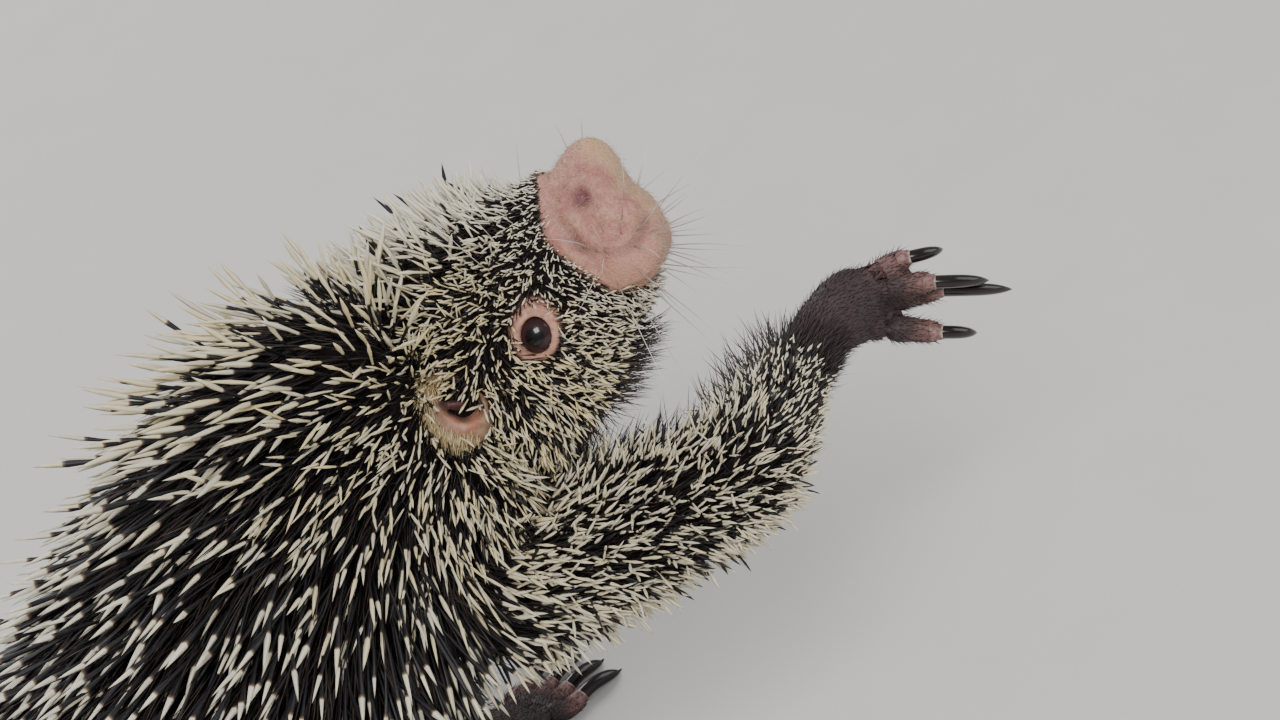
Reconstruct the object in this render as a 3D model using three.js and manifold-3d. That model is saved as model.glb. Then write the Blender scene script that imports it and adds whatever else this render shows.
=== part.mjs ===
// A porcupine with a grasping tail, life size, still, as a museum shows it.
// It crouches on its hind feet and left hand, front raised, head turned and right arm reaching out.
// Millimetres. +X is forward, +Y is the animal's left, +Z is up, and the floor is at z = 0.

import * as THREE from 'three';
import { mergeVertices } from 'three/addons/utils/BufferGeometryUtils.js';
import Module from 'manifold-3d';

const wasm = await Module();
wasm.setup();

// Clearance between pieces that touch
const GAP = 0.3;
const FORWARD = [1, 0, 0];
const UPWARD = [0, 0, 1];

// Trunk: a row of ovals from rump to neck, each [x, y, z, half width, half height] of the skin
const TRUNK_ROW = [
  [-236, 0, 50, 20, 18],
  [-220, 0, 56, 34, 31],
  [-190, 0, 65, 45, 44],
  [-150, 0, 75, 52, 52],
  [-105, 0, 88, 56, 54],
  [-58, 0, 108, 54, 53],
  [-10, 0, 135, 50, 52],
  [30, -3, 161, 46, 50],
  [52, -9, 175, 42, 47],
  [74, -18, 184, 36, 40],
];
const TRUNK_STEPS = 18;
const TRUNK_SPLIT = 8 / TRUNK_STEPS;
const NECK_START = 15 / TRUNK_STEPS;
const BACK_CORE = 9.5;
const NECK_CORE = 6;
const BELLY_CORE = 3.5;

// Head: its own axes are x to the nose, y to the left and z to the crown, from the middle between the eyes
const HEAD_MIDDLE = [110.5, -38, 195];
const HEAD_TURN = { yaw: -30, pitch: 30, roll: -27 };
const HEAD_ROW = [
  [-50, 0, 2, 14, 13],
  [-44, 0, 3, 25, 24],
  [-32, 0, 4, 31, 30],
  [-15, 0, 5, 31, 31],
  [0, 0, 5, 27, 29.5],
  [13, 0, 6, 22.5, 25],
  [23, 0, 7, 18.8, 20.8],
  [31, 0, 7, 17.8, 19],
  [39, 0, 7, 17, 18],
  [44.5, 0, 8, 14.5, 15],
];
const HEAD_CORE = 6.5;
const MUZZLE_EDGE = { x: 24, z: 8, slope: 9 };
const MUZZLE_PLACE = 0.67;
const SLAB = 80;
const EYE = { x: 0, y: 22, z: 0, radius: 6.3, bare: 7.5, ring: 9 };
const LID = { radius: 5.5, thick: 1.3, out: 4, ahead: 0.2, up: 0.12 };
const EAR = { x: -31, y: 33, z: 5, long: 11, thick: 6, tall: 12.5, wall: 1.6, ahead: 0.5 };
const NOSTRIL = { x: 38.5, y: 15.8, z: 14.5, deep: 4.2, wide: 2.3, tall: 3.1, splay: 78 };
// The crease round the nose is the rear part of an oval, seen from the side, between two half turns
const NOSE_FOLD = { x: 38.5, z: 8.5, long: 10.5, tall: 16, wide: 1.3, deep: 1.5, from: 0.62, to: 1.42 };
const FOLD_STEPS = 5;
const MOUTH = { z: -9.4, slope: -7, back: 23, long: 40, wide: 1.2, deep: 2.6 };

// Tail: a smooth line on the floor, curling up at its end, [x, y, half width, half height]
const TAIL_ROW = [
  [-212, 0, 21, 19],
  [-244, 2, 17.5, 16.5],
  [-282, 12, 15, 14],
  [-318, 34, 13, 12.2],
  [-344, 68, 11.6, 11],
  [-350, 108, 10.2, 9.8],
  [-334, 144, 9, 8.8],
  [-300, 166, 8, 7.8],
  [-262, 162, 7, 6.8],
  [-243, 136, 6, 6],
  [-254, 111, 5, 5],
  [-276, 106, 4.2, 4.2],
];
const TAIL_PARTS = 4;
const TAIL_STEPS = 32;
const TAIL_LIFT = 34;
const SOLE_DEPTH = 0.6;
const TAIL_CORE = 4;

// Limbs: rows of ovals from the root down, [x, y, z, half width, half height]
const ARM_CORE = 4;
const FOREARM_CORE = 2.5;
const LEG_CORE = 5;
const SHANK_CORE = 2;
const RIGHT_UPPER_ARM = [
  [52, -30, 140, 24, 22],
  [76, -46, 135, 20, 19],
  [101, -64, 136, 16, 16],
  [124, -79, 138.5, 13, 14],
];
const RIGHT_FOREARM = [
  [124, -79, 138.5, 13, 14],
  [141, -72.5, 138.5, 12.5, 12.5],
  [162, -61, 136, 10.5, 10.5],
  [179, -55, 134, 9, 8],
];
const LEFT_UPPER_ARM = [
  [44, 26, 142, 24, 24],
  [48, 42, 124, 20, 22],
  [43, 52, 100, 16, 17],
  [40, 57, 80, 13, 14],
];
const LEFT_FOREARM = [
  [40, 57, 80, 13, 14],
  [46, 58, 60, 12, 12.5],
  [57, 58.5, 36, 9.5, 10],
  [66, 59, 17, 8, 8],
];
const THIGH = [
  [-186, 34, 72, 32, 34],
  [-168, 52, 65, 27, 32],
  [-142, 70, 55, 22, 27],
  [-120, 80, 47, 18, 20],
];
const SHANK = [
  [-120, 80, 47, 16, 16],
  [-144, 80, 38, 16, 15],
  [-168, 78, 27, 12.5, 12],
  [-188, 75, 16, 10, 10],
];

// The reaching hand's toes: how far each lies across the palm at its root, its tip and its claw's point,
// how high it lies, and how long it and its claw are
const REACHING_TOES = [
  { root: -7.8, tip: -10.2, point: -11.4, high: 0, length: 17, claw: 16 },
  { root: 0, tip: 2.6, point: 1.4, high: -3.5, length: 19, claw: 27 },
  { root: 3.5, tip: 5, point: 4.5, high: 2.7, length: 15, claw: 22 },
  { root: 8.4, tip: 12.3, point: 15, high: -0.5, length: 8.5, claw: 15.5 },
];

// Paws: the heel, the way the toes point and the back of the paw faces, and how far the wrist bends aside
const RIGHT_HAND = {
  heel: [184.4, -49.5, 145],
  ahead: [0.77, -0.51, -0.37],
  back: [-0.42, -0.73, 0.54],
  bend: -13,
  toes: REACHING_TOES,
};
const LEFT_HAND = { heel: [66, 59, 8.4], ahead: [0.985, 0.12, -0.05], back: [0.05, 0, 1] };
const FOOT = { heel: [-196, 75, 9.4], ahead: [0.99, 0.13, -0.03], back: [0.03, 0, 1] };
const HAND_SIZE = {
  palm: 24, wide: 11.5, thick: 7.5,
  toe: 17, toeRadius: 3.9, spread: 5.6, fan: 0.13, claw: 21,
};
const FOOT_SIZE = {
  palm: 52, wide: 13.5, thick: 9,
  toe: 17, toeRadius: 4.4, spread: 6.2, fan: 0.1, claw: 19,
};
const TOES = 4;
const REACHING_DROP = -2.5;
const CLAW_STATIONS = [0, 0.3, 0.6, 0.85, 1];
const CLAW_RADIUS = 2.35;
const CLAW_BLUNT = 2.6;
const CLAW_ROOT = 2;
const CLAW_RISE = 3.2;
const CLAW_DROP = 5.4;

// Quills: half their thickness, how deep each root sits, where they are thickest, and the seed of the draw
const QUILL_RADIUS = 1.3;
const ROOT_DEPTH = 5;
const THICKEST = 0.42;
const SEED = 7;
// How far quills stay from the middle of an eye and of an ear, and from the floor
const EYE_CLEAR = 9;
const EAR_CLEAR = 12;
const FLOOR_CLEAR = 2.6;
// Each quill strays a little in its place along and round the body, its length and its way
const STRAY = { along: 0.3, round: 0.22, length: 0.12, way: 0.12 };
// Where on a quill its clearance is tried, and how much of its lean is kept when it has to stand up instead
const TRIED = [0, 0.12, 0.3, 0.5, 0.75, 1];
const UPRIGHT_TRIES = [1, 0.7, 0.35];
// The rows of quills stand this share of the spacing apart
const ROW_STEP = 0.9;
// Each field of quills: the stretch of the body and the part of its girth that it covers, in degrees, where
// 0 is its left, 90 its top and 180 its right, then the spacing, and the lengths and the leans from upright
// at its start and end
const TRUNK_QUILLS = {
  from: 0.03, to: 0.84, low: -28, high: 208,
  spacing: 17.5, lengths: [24, 24], leans: [64, 60],
};
const NAPE_QUILLS = {
  from: 0.84, to: 0.98, low: -28, high: 208,
  spacing: 15, lengths: [23, 25], leans: [50, 30],
};
const CROWN_QUILLS = {
  from: 0.06, to: 0.62, low: -30, high: 210,
  spacing: 11, lengths: [28, 8], leans: [-16, 52],
};
const TAIL_QUILLS = {
  from: 0.07, to: 0.3, low: -5, high: 185,
  spacing: 15, lengths: [18, 9], leans: [60, 60],
};
const ARM_QUILLS = {
  from: 0.3, to: 0.97, low: -60, high: 240,
  spacing: 13.5, lengths: [17, 11], leans: [50, 50],
};
const FOREARM_QUILLS = {
  from: 0.12, to: 0.62, low: -80, high: 260,
  spacing: 13, lengths: [10, 7], leans: [50, 60],
};
const THIGH_QUILLS = {
  from: 0.3, to: 0.95, low: -60, high: 240,
  spacing: 16, lengths: [18, 13], leans: [58, 58],
};

const MATERIALS = {
  quilled: { color: 0x2b2622, roughness: 0.6, metalness: 0 },
  crown: { color: 0x8f8260, roughness: 0.65, metalness: 0 },
  flesh: { color: 0xb07f73, roughness: 0.55, metalness: 0 },
  ear: { color: 0xa8705f, roughness: 0.6, metalness: 0 },
  eye: { color: 0x140b0c, roughness: 0.05, metalness: 0 },
  fur: { color: 0x33281f, roughness: 0.8, metalness: 0 },
  claw: { color: 0x17130f, roughness: 0.25, metalness: 0 },
  tail: { color: 0x4a3b2d, roughness: 0.75, metalness: 0 },
};

// A small step along a line or round it, for slopes, and how many knots are tried for the nearest place
const STEP = 0.01;
const KNOTS = 24;

const radians = THREE.MathUtils.degToRad;
const vector = (list) => new THREE.Vector3(...list);
const mirrored = (row) => row.map(([x, y, ...rest]) => [x, -y, ...rest]);

// Turns a three.js geometry into a solid
function solidOf(geometry) {
  const bare = geometry.index ? geometry.clone() : geometry;
  bare.deleteAttribute('normal');
  bare.deleteAttribute('uv');
  const merged = mergeVertices(bare, 1e-4);
  const vertProperties = Float32Array.from(merged.attributes.position.array);
  const triVerts = Uint32Array.from(merged.index.array);
  return new wasm.Manifold(new wasm.Mesh({ numProp: 3, vertProperties, triVerts }));
}

// Turns a solid back into a three.js geometry
function geometryOf(solid) {
  const mesh = solid.getMesh();
  const geometry = new THREE.BufferGeometry();
  geometry.setAttribute('position', new THREE.Float32BufferAttribute(mesh.vertProperties, 3));
  geometry.setIndex(Array.from(mesh.triVerts));
  geometry.computeVertexNormals();
  return geometry;
}

// Keeps only the largest closed surface of a solid
function largest(solid) {
  const pieces = solid.decompose();
  return pieces.reduce((best, piece) => (piece.volume() > best.volume() ? piece : best));
}

// A smooth closed skin through a row of ovals, with rounded ends
class Loft {
  constructor({ row, up = UPWARD, sides, steps, caps, capRings = [0.5], coat, bumps = [] }) {
    this.line = new THREE.CatmullRomCurve3(row.map((s) => vector(s.slice(0, 3))));
    const halves = row.map((s) => new THREE.Vector3(s[3], s[4], 0));
    this.girth = new THREE.CatmullRomCurve3(halves, false, 'catmullrom', 0.5);
    Object.assign(this, { up: vector(up), sides, steps, caps, capRings, coat: coat ?? (() => 0), bumps });
  }

  ring(t) {
    const middle = this.line.getPoint(t);
    const ahead = this.line.getTangent(t);
    const side = new THREE.Vector3().crossVectors(this.up, ahead).normalize();
    const top = new THREE.Vector3().crossVectors(ahead, side);
    const size = this.girth.getPoint(t);
    return { middle, ahead, side, top, wide: size.x, high: size.y };
  }

  // A point on the skin, or `extra` outside it
  place(ring, angle, t, extra = 0, scale = 1) {
    const spread = (by) => ring.middle.clone()
      .addScaledVector(ring.side, (ring.wide + by) * Math.cos(angle) * scale)
      .addScaledVector(ring.top, (ring.high + by) * Math.sin(angle) * scale);
    const point = spread(this.coat(t, angle, spread(0)) + extra);
    for (const bump of this.bumps) {
      const weight = Math.exp(-((point.distanceTo(bump.at) / bump.reach) ** 2));
      point.addScaledVector(bump.push, weight);
    }
    return point;
  }

  point(t, angle, extra = 0) {
    return this.place(this.ring(t), angle, t, extra);
  }

  // Which way the skin faces at a place
  facing(t, angle) {
    const along = this.point(Math.min(t + STEP, 1), angle).sub(this.point(Math.max(t - STEP, 0), angle));
    const round = this.point(t, angle + STEP).sub(this.point(t, angle - STEP));
    return round.cross(along).normalize();
  }

  // The closed solid between two places, grown by `extra`; a cut end is flat and keeps half a gap
  solid({ extra = 0, from = 0, to = 1 } = {}) {
    const rings = [];
    const count = Math.max(2, Math.round(this.steps * (to - from)));
    for (let i = 0; i <= count; i += 1) {
      const t = from + ((to - from) * i) / count;
      rings.push({ ring: this.ring(t), t, scale: 1 });
    }
    const ends = [[rings[0], -1, from > 0], [rings.at(-1), 1, to < 1]];
    const poles = ends.map(([end, way, cut], i) => {
      const { ring, t } = end;
      const shifted = (by) => ring.middle.clone().addScaledVector(ring.ahead, way * by);
      const length = this.caps[i] + extra;
      if (cut || this.caps[i] === 0) {
        const inset = cut ? extra - GAP / 2 : extra;
        end.ring = { ...ring, middle: shifted(inset) };
        return shifted(inset);
      }
      const round = this.capRings.map((s) => {
        const middle = shifted(length * Math.sin((s * Math.PI) / 2));
        return { ring: { ...ring, middle }, t, scale: Math.cos((s * Math.PI) / 2) };
      });
      if (way < 0) {
        rings.unshift(...round.toReversed());
      } else {
        rings.push(...round);
      }
      return shifted(length);
    });
    const points = [];
    for (const { ring, t, scale } of rings) {
      for (let j = 0; j < this.sides; j += 1) {
        points.push(this.place(ring, (2 * Math.PI * j) / this.sides, t, extra, scale));
      }
    }
    return solidOf(skinOfRings(points, rings.length, this.sides, poles[0], poles[1]));
  }

  // The place along the line that is nearest to a point
  nearest(point) {
    this.knots ??= this.line.getPoints(KNOTS).map((middle, i) => ({ t: i / KNOTS, middle }));
    const closer = (a, b) => (point.distanceToSquared(b.middle) < point.distanceToSquared(a.middle) ? b : a);
    let { t } = this.knots.reduce(closer);
    for (let i = 0; i < 3; i += 1) {
      const ahead = this.line.getTangent(t);
      const [early, late] = [Math.max(t - STEP, 0), Math.min(t + STEP, 1)];
      const pace = this.line.getPoint(late).distanceTo(this.line.getPoint(early)) / (late - early);
      t = THREE.MathUtils.clamp(t + point.clone().sub(this.line.getPoint(t)).dot(ahead) / pace, 0, 1);
    }
    return t;
  }

  // Whether a point lies within `margin` of the stretch of the body between two places
  holds(point, margin, from = 0, to = 1) {
    const t = this.nearest(point);
    const slack = margin / this.line.getLength();
    if (t < from - slack || t > to + slack) {
      return false;
    }
    const ring = this.ring(t);
    const away = point.clone().sub(ring.middle);
    const across = away.dot(ring.side);
    const height = away.dot(ring.top);
    const depth = this.coat(t, Math.atan2(height, across), point) + margin;
    const beyond = away.dot(ring.ahead) / (Math.max(...this.caps) + margin);
    return (across / (ring.wide + depth)) ** 2 + (height / (ring.high + depth)) ** 2 + beyond ** 2 < 1;
  }
}

// Closes a stack of rings of points with a pole at each end
function skinOfRings(points, rings, sides, startPole, endPole) {
  const index = [];
  const start = points.length;
  const end = start + 1;
  for (let j = 0; j < sides; j += 1) {
    const next = (j + 1) % sides;
    const lastRing = (rings - 1) * sides;
    index.push(start, next, j);
    index.push(end, lastRing + j, lastRing + next);
    for (let i = 0; i < rings - 1; i += 1) {
      const a = i * sides;
      const b = a + sides;
      index.push(a + j, a + next, b + j);
      index.push(a + next, b + next, b + j);
    }
  }
  const geometry = new THREE.BufferGeometry().setFromPoints([...points, startPole, endPole]);
  geometry.setIndex(index);
  return geometry;
}

// Cuts away what lies behind a plane through `at`, whose normal is `facing`
function keepAhead(solid, at, facing, gap = GAP / 2) {
  return solid.trimByPlane(facing.toArray(), at.dot(facing) + gap);
}

// Head axes in the animal's own
const headAxes = new THREE.Matrix4()
  .makeRotationZ(radians(HEAD_TURN.yaw))
  .multiply(new THREE.Matrix4().makeRotationY(-radians(HEAD_TURN.pitch)))
  .multiply(new THREE.Matrix4().makeRotationX(radians(HEAD_TURN.roll)))
  .setPosition(...HEAD_MIDDLE);
const headPoint = (x, y, z) => new THREE.Vector3(x, y, z).applyMatrix4(headAxes);
const headWay = (x, y, z) => new THREE.Vector3(x, y, z).transformDirection(headAxes);
const eyeMiddle = (side) => headPoint(EYE.x, side * EYE.y, EYE.z);

// The dense underfur is deep on the back and sides, and thin under the belly and at the neck
function trunkCoat(t, angle) {
  const back = THREE.MathUtils.smoothstep(Math.sin(angle), -0.85, -0.25);
  const deep = THREE.MathUtils.lerp(BACK_CORE, NECK_CORE, THREE.MathUtils.smoothstep(t, 0.7, 1));
  return THREE.MathUtils.lerp(BELLY_CORE, deep, back);
}

const trunk = new Loft({ row: TRUNK_ROW, sides: 18, steps: TRUNK_STEPS, caps: [8, 10], coat: trunkCoat });

// The head's underfur deepens from the nose to the crown and leaves a bare ring at each eye
function headCoat(t, angle, point) {
  const behindNose = 1 - THREE.MathUtils.smoothstep(t, 0.5, 0.78);
  const top = THREE.MathUtils.smoothstep(Math.sin(angle), -0.2, 0.9);
  const fromEye = Math.min(point.distanceTo(eyeMiddle(1)), point.distanceTo(eyeMiddle(-1)));
  const bare = THREE.MathUtils.smoothstep(fromEye, EYE.bare, EYE.bare + EYE.ring);
  return HEAD_CORE * behindNose * bare * (0.35 + 1.2 * top);
}

function headBump(x, y, z, push, reach) {
  return { at: headPoint(x, y, z), push: headWay(...push).multiplyScalar(vector(push).length()), reach };
}

const faceBumps = [
  headBump(47, 0, 14, [2.6, 0, 2.6], 9),
  headBump(51, 0, 7, [-2.4, 0, 0], 6),
  headBump(37, 13, -7, [2, 2, -2], 8),
  headBump(37, -13, -7, [2, -2, -2], 8),
  headBump(30, 0, -16, [1, 0, -4.5], 9),
];

function headRow() {
  return HEAD_ROW.map(([x, y, z, wide, high]) => [...headPoint(x, y, z).toArray(), wide, high]);
}

const headUp = headWay(0, 0, 1).toArray();
const headForm = { row: headRow(), up: headUp, caps: [5, 4.5], coat: headCoat, bumps: faceBumps };
const skull = new Loft({ ...headForm, sides: 18, steps: 16, capRings: [0.4, 0.75] });
// The same form with fewer faces, for the floor of the folds
const foldFloor = new Loft({ ...headForm, sides: 10, steps: 6 });

// A ball, stretched to its three half sizes and turned so that its x axis points `ahead`
function ball(middle, ahead, up, sizes, detail = [10, 7]) {
  const side = new THREE.Vector3().crossVectors(up, ahead).normalize();
  const top = new THREE.Vector3().crossVectors(ahead, side).normalize();
  const turn = new THREE.Matrix4().makeBasis(ahead, side, top).scale(vector(sizes)).setPosition(middle);
  return solidOf(new THREE.SphereGeometry(1, ...detail).applyMatrix4(turn));
}

// The band that cuts the crease round the nose, right across the head
function noseBand() {
  const { x, z, long, tall, wide } = NOSE_FOLD;
  const [start, end] = [NOSE_FOLD.from * Math.PI, NOSE_FOLD.to * Math.PI];
  const outline = new THREE.Shape();
  outline.absellipse(x, z, long + wide / 2, tall + wide / 2, start, end, false, 0);
  outline.absellipse(x, z, long - wide / 2, tall - wide / 2, end, start, true, 0);
  const form = { depth: SLAB, bevelEnabled: false, curveSegments: FOLD_STEPS };
  const band = new THREE.ExtrudeGeometry(outline, form);
  band.rotateX(Math.PI / 2).translate(0, SLAB / 2, 0);
  return solidOf(band.applyMatrix4(headAxes));
}

// A thin slab across the head, for a fold; its middle plane passes through (x, z), and `slope` tips it
function headSlab(x, z, slope, length, wide, tall) {
  const box = new THREE.BoxGeometry(length, wide, tall).toNonIndexed();
  box.applyMatrix4(new THREE.Matrix4().makeRotationY(-radians(slope)));
  box.applyMatrix4(new THREE.Matrix4().setPosition(x, 0, z));
  return solidOf(box.applyMatrix4(headAxes));
}

// The same seed always gives the same row of numbers between 0 and 1
function randomRow(seed) {
  let state = seed;
  return () => {
    state = (state + 0x6d2b79f5) | 0;
    let mixed = Math.imul(state ^ (state >>> 15), 1 | state);
    mixed = (mixed + Math.imul(mixed ^ (mixed >>> 7), 61 | mixed)) ^ mixed;
    return ((mixed ^ (mixed >>> 14)) >>> 0) / 4294967296;
  };
}
const random = randomRow(SEED);
const around = (spread) => (random() * 2 - 1) * spread;

// One quill: a three-sided spindle, thickest a little above the skin and pointed at its root and tip
function spine(root, tip) {
  const ahead = tip.clone().sub(root);
  const side = new THREE.Vector3(ahead.y, -ahead.x, 0.01).normalize();
  const top = new THREE.Vector3().crossVectors(ahead, side).normalize();
  const waist = root.clone().addScaledVector(ahead, THICKEST);
  const ring = [0, 1, 2].map((j) => {
    const angle = (2 * Math.PI * j) / 3;
    const point = waist.clone().addScaledVector(side, QUILL_RADIUS * Math.cos(angle));
    return point.addScaledVector(top, QUILL_RADIUS * Math.sin(angle));
  });
  return solidOf(skinOfRings(ring, 1, 3, root, tip));
}

// How near two straight stretches come to each other
function distanceBetween(a, b) {
  const u = a.tip.clone().sub(a.root);
  const v = b.tip.clone().sub(b.root);
  const w = a.root.clone().sub(b.root);
  const [uu, uv, vv, uw, vw] = [u.dot(u), u.dot(v), v.dot(v), u.dot(w), v.dot(w)];
  const clamp = (x) => THREE.MathUtils.clamp(x, 0, 1);
  let s = clamp((uv * vw - vv * uw) / Math.max(uu * vv - uv * uv, 1e-6));
  const k = clamp((uv * s + vw) / vv);
  s = clamp((uv * k - uw) / uu);
  return w.addScaledVector(u, s).addScaledVector(v, -k).length();
}

// Every body that quills have to keep clear of, and every quill so far
const bodies = [];
const quills = [];

function isFree(quill, owner) {
  const reach = QUILL_RADIUS + GAP;
  for (const share of TRIED) {
    const point = quill.root.clone().lerp(quill.tip, share);
    if (point.z < FLOOR_CLEAR) {
      return false;
    }
    const others = bodies.filter(({ name }) => name !== owner);
    if (others.some(({ loft, from, to }) => loft.holds(point, reach + GAP, from, to))) {
      return false;
    }
    if (balls.some(({ middle, radius }) => point.distanceTo(middle) < radius)) {
      return false;
    }
  }
  const strangers = quills.filter((other) => other.owner !== owner);
  return strangers.every((other) => distanceBetween(quill, other) > 2 * QUILL_RADIUS + GAP);
}

// Sets quills in staggered rows over part of a body; `lie` is the way they sweep at a place
function plant(owner, loft, field, lie) {
  const { low, high, spacing, lengths, leans } = field;
  const body = bodies.find(({ name }) => name === owner);
  let t = Math.max(field.from, body.from);
  const end = Math.min(field.to, body.to);
  for (let row = 0; t < end; row += 1) {
    const ring = loft.ring(t);
    const radius = (ring.wide + ring.high) / 2 + loft.coat(t, Math.PI / 2, ring.middle);
    const girth = radians(high - low) * radius;
    const count = Math.max(1, Math.round(girth / spacing));
    for (let j = 0; j < count; j += 1) {
      const share = (j + 0.5 + (row % 2 ? 0.25 : -0.25) + around(STRAY.round)) / count;
      const angle = radians(low + (high - low) * share);
      const place = THREE.MathUtils.clamp(t + (around(STRAY.along) * spacing) / loft.line.getLength(), 0, 1);
      const skin = loft.point(place, angle);
      const out = loft.facing(place, angle);
      const sweep = lie(place, angle).projectOnPlane(out).normalize();
      const along = (t - field.from) / (field.to - field.from);
      const length = THREE.MathUtils.lerp(...lengths, along) * (1 + around(STRAY.length));
      const lean = THREE.MathUtils.lerp(...leans, along);
      const stray = new THREE.Vector3(around(STRAY.way), around(STRAY.way), around(STRAY.way));
      for (const kept of UPRIGHT_TRIES) {
        const way = out.clone().multiplyScalar(Math.cos(radians(lean * kept)));
        way.addScaledVector(sweep, Math.sin(radians(lean * kept))).add(stray).normalize();
        const tip = skin.clone().addScaledVector(way, length * (0.75 + 0.25 * kept));
        const quill = { owner, root: skin.clone().addScaledVector(way, -ROOT_DEPTH), tip };
        if (isFree(quill, owner)) {
          quills.push(quill);
          break;
        }
      }
    }
    t += (ROW_STEP * spacing) / loft.line.getLength();
  }
}

// The body joined with its own quills
function withQuills(solid, owner) {
  const own = quills.filter((quill) => quill.owner === owner);
  return largest(wasm.Manifold.union([solid, ...own.map(({ root, tip }) => spine(root, tip))]));
}

function eyeBall(side, extra = 0) {
  const r = EYE.radius + extra;
  return ball(eyeMiddle(side), headWay(0, side, 0), headWay(0, 0, 1), [r, r, r], [12, 8]);
}

function lid(side) {
  const out = headWay(LID.ahead, side, LID.up);
  const middle = eyeMiddle(side).addScaledVector(out, LID.out);
  const turn = new THREE.Quaternion().setFromUnitVectors(new THREE.Vector3(0, 0, 1), out);
  const ring = new THREE.TorusGeometry(LID.radius, LID.thick, 4, 12).applyQuaternion(turn);
  return solidOf(ring.translate(...middle.toArray()));
}

function earShape(side, wall, extra = 0) {
  const out = headWay(EAR.ahead, side, 0.1);
  const middle = headPoint(EAR.x, side * EAR.y, EAR.z).addScaledVector(out, wall > 0 ? 3.4 : 0);
  const sizes = [EAR.thick, EAR.long, EAR.tall].map((s) => s - wall + extra);
  return ball(middle, out, headWay(0, 0, 1), sizes);
}

const sides = { right: -1, left: 1 };

// The tail leaves the rump and comes down to the floor, where its underside is flat
function tailRow() {
  return TAIL_ROW.map(([x, y, wide, high], i) => {
    const lift = TAIL_LIFT * Math.max(0, 1 - i / 3) ** 1.6;
    return [x, y, high - SOLE_DEPTH + lift, wide, high];
  });
}

function tailCoat(t) {
  return TAIL_CORE * (1 - THREE.MathUtils.smoothstep(t, 0.06, 0.36));
}

const tail = new Loft({ row: tailRow(), sides: 8, steps: TAIL_STEPS, caps: [6, 4], coat: tailCoat });

const onFloor = (solid) => solid.trimByPlane(UPWARD, 0);

function limb(row, coatDepth, up) {
  return new Loft({ row, up, sides: 10, steps: 6, caps: [10, 5], coat: () => coatDepth });
}

// The four limbs: the rows of the upper and lower piece, their underfur, their paw and what they stand on
const turned = (row, side) => (side > 0 ? row : mirrored(row));
const turnedPaw = (paw, side) => {
  const [heel, ahead, back] = turned([paw.heel, paw.ahead, paw.back], side);
  return { heel, ahead, back };
};
const LIMBS = [
  { names: ['upper_arm_right', 'forearm_right', 'hand_right'], rows: [RIGHT_UPPER_ARM, RIGHT_FOREARM],
    cores: [ARM_CORE, FOREARM_CORE], up: UPWARD, paw: RIGHT_HAND, size: HAND_SIZE, onGround: false },
  { names: ['upper_arm_left', 'forearm_left', 'hand_left'], rows: [LEFT_UPPER_ARM, LEFT_FOREARM],
    cores: [ARM_CORE, FOREARM_CORE], up: FORWARD, paw: LEFT_HAND, size: HAND_SIZE, onGround: true },
  ...Object.entries(sides).map(([name, side]) => ({
    names: [`thigh_${name}`, `shank_${name}`, `foot_${name}`],
    rows: [turned(THIGH, side), turned(SHANK, side)],
    cores: [LEG_CORE, SHANK_CORE], up: UPWARD, paw: turnedPaw(FOOT, side), size: FOOT_SIZE, onGround: true,
  })),
].map((item) => ({ ...item, lofts: item.rows.map((row, i) => limb(row, item.cores[i], item.up)) }));

// Every body that quills keep clear of
bodies.push(
  { name: 'torso_rear', loft: trunk, from: 0, to: TRUNK_SPLIT },
  { name: 'torso_front', loft: trunk, from: TRUNK_SPLIT, to: NECK_START },
  { name: 'neck', loft: trunk, from: NECK_START, to: 1 },
  { name: 'head', loft: skull, from: 0, to: MUZZLE_PLACE },
  { name: 'muzzle', loft: skull, from: MUZZLE_PLACE, to: 1 },
  ...Array.from({ length: TAIL_PARTS }, (_, i) => (
    { name: `tail_${i + 1}`, loft: tail, from: i / TAIL_PARTS, to: (i + 1) / TAIL_PARTS })),
  ...LIMBS.flatMap(({ names, lofts }) => lofts.map((loft, i) => ({ name: names[i], loft, from: 0, to: 1 }))),
);
const balls = Object.values(sides).flatMap((side) => [
  { middle: eyeMiddle(side), radius: EYE_CLEAR },
  { middle: headPoint(EAR.x, side * EAR.y, EAR.z), radius: EAR_CLEAR },
]);

// Quills on the trunk sweep back, and those low on the flanks hang down as well
function sweepBack(loft) {
  return (t, angle) => {
    const ring = loft.ring(t);
    const low = 1 - THREE.MathUtils.smoothstep(Math.sin(angle), -0.3, 0.6);
    return ring.ahead.clone().negate().addScaledVector(ring.top, -0.7 * low);
  };
}

// Quills on a limb sweep towards the paw
const sweepOut = (loft) => (t) => loft.ring(t).ahead;

function plantAll() {
  plant('torso_rear', trunk, TRUNK_QUILLS, sweepBack(trunk));
  plant('torso_front', trunk, TRUNK_QUILLS, sweepBack(trunk));
  plant('neck', trunk, NAPE_QUILLS, sweepBack(trunk));
  plant('head', skull, CROWN_QUILLS, sweepBack(skull));
  plant('tail_1', tail, TAIL_QUILLS, sweepOut(tail));
  for (const { names, lofts } of LIMBS) {
    plant(names[0], lofts[0], names[0].startsWith('thigh') ? THIGH_QUILLS : ARM_QUILLS, sweepOut(lofts[0]));
    if (names[1].startsWith('forearm')) {
      plant(names[1], lofts[1], FOREARM_QUILLS, sweepOut(lofts[1]));
    }
  }
}

const nodes = [];

function addNode(name, solid, finish) {
  const geometry = geometryOf(solid);
  geometry.computeBoundingBox();
  const middle = geometry.boundingBox.getCenter(new THREE.Vector3()).round();
  geometry.translate(-middle.x, -middle.y, -middle.z);
  const mesh = new THREE.Mesh(geometry, new THREE.MeshStandardMaterial(MATERIALS[finish]));
  mesh.name = name;
  mesh.position.copy(middle);
  nodes.push(mesh);
}

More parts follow.
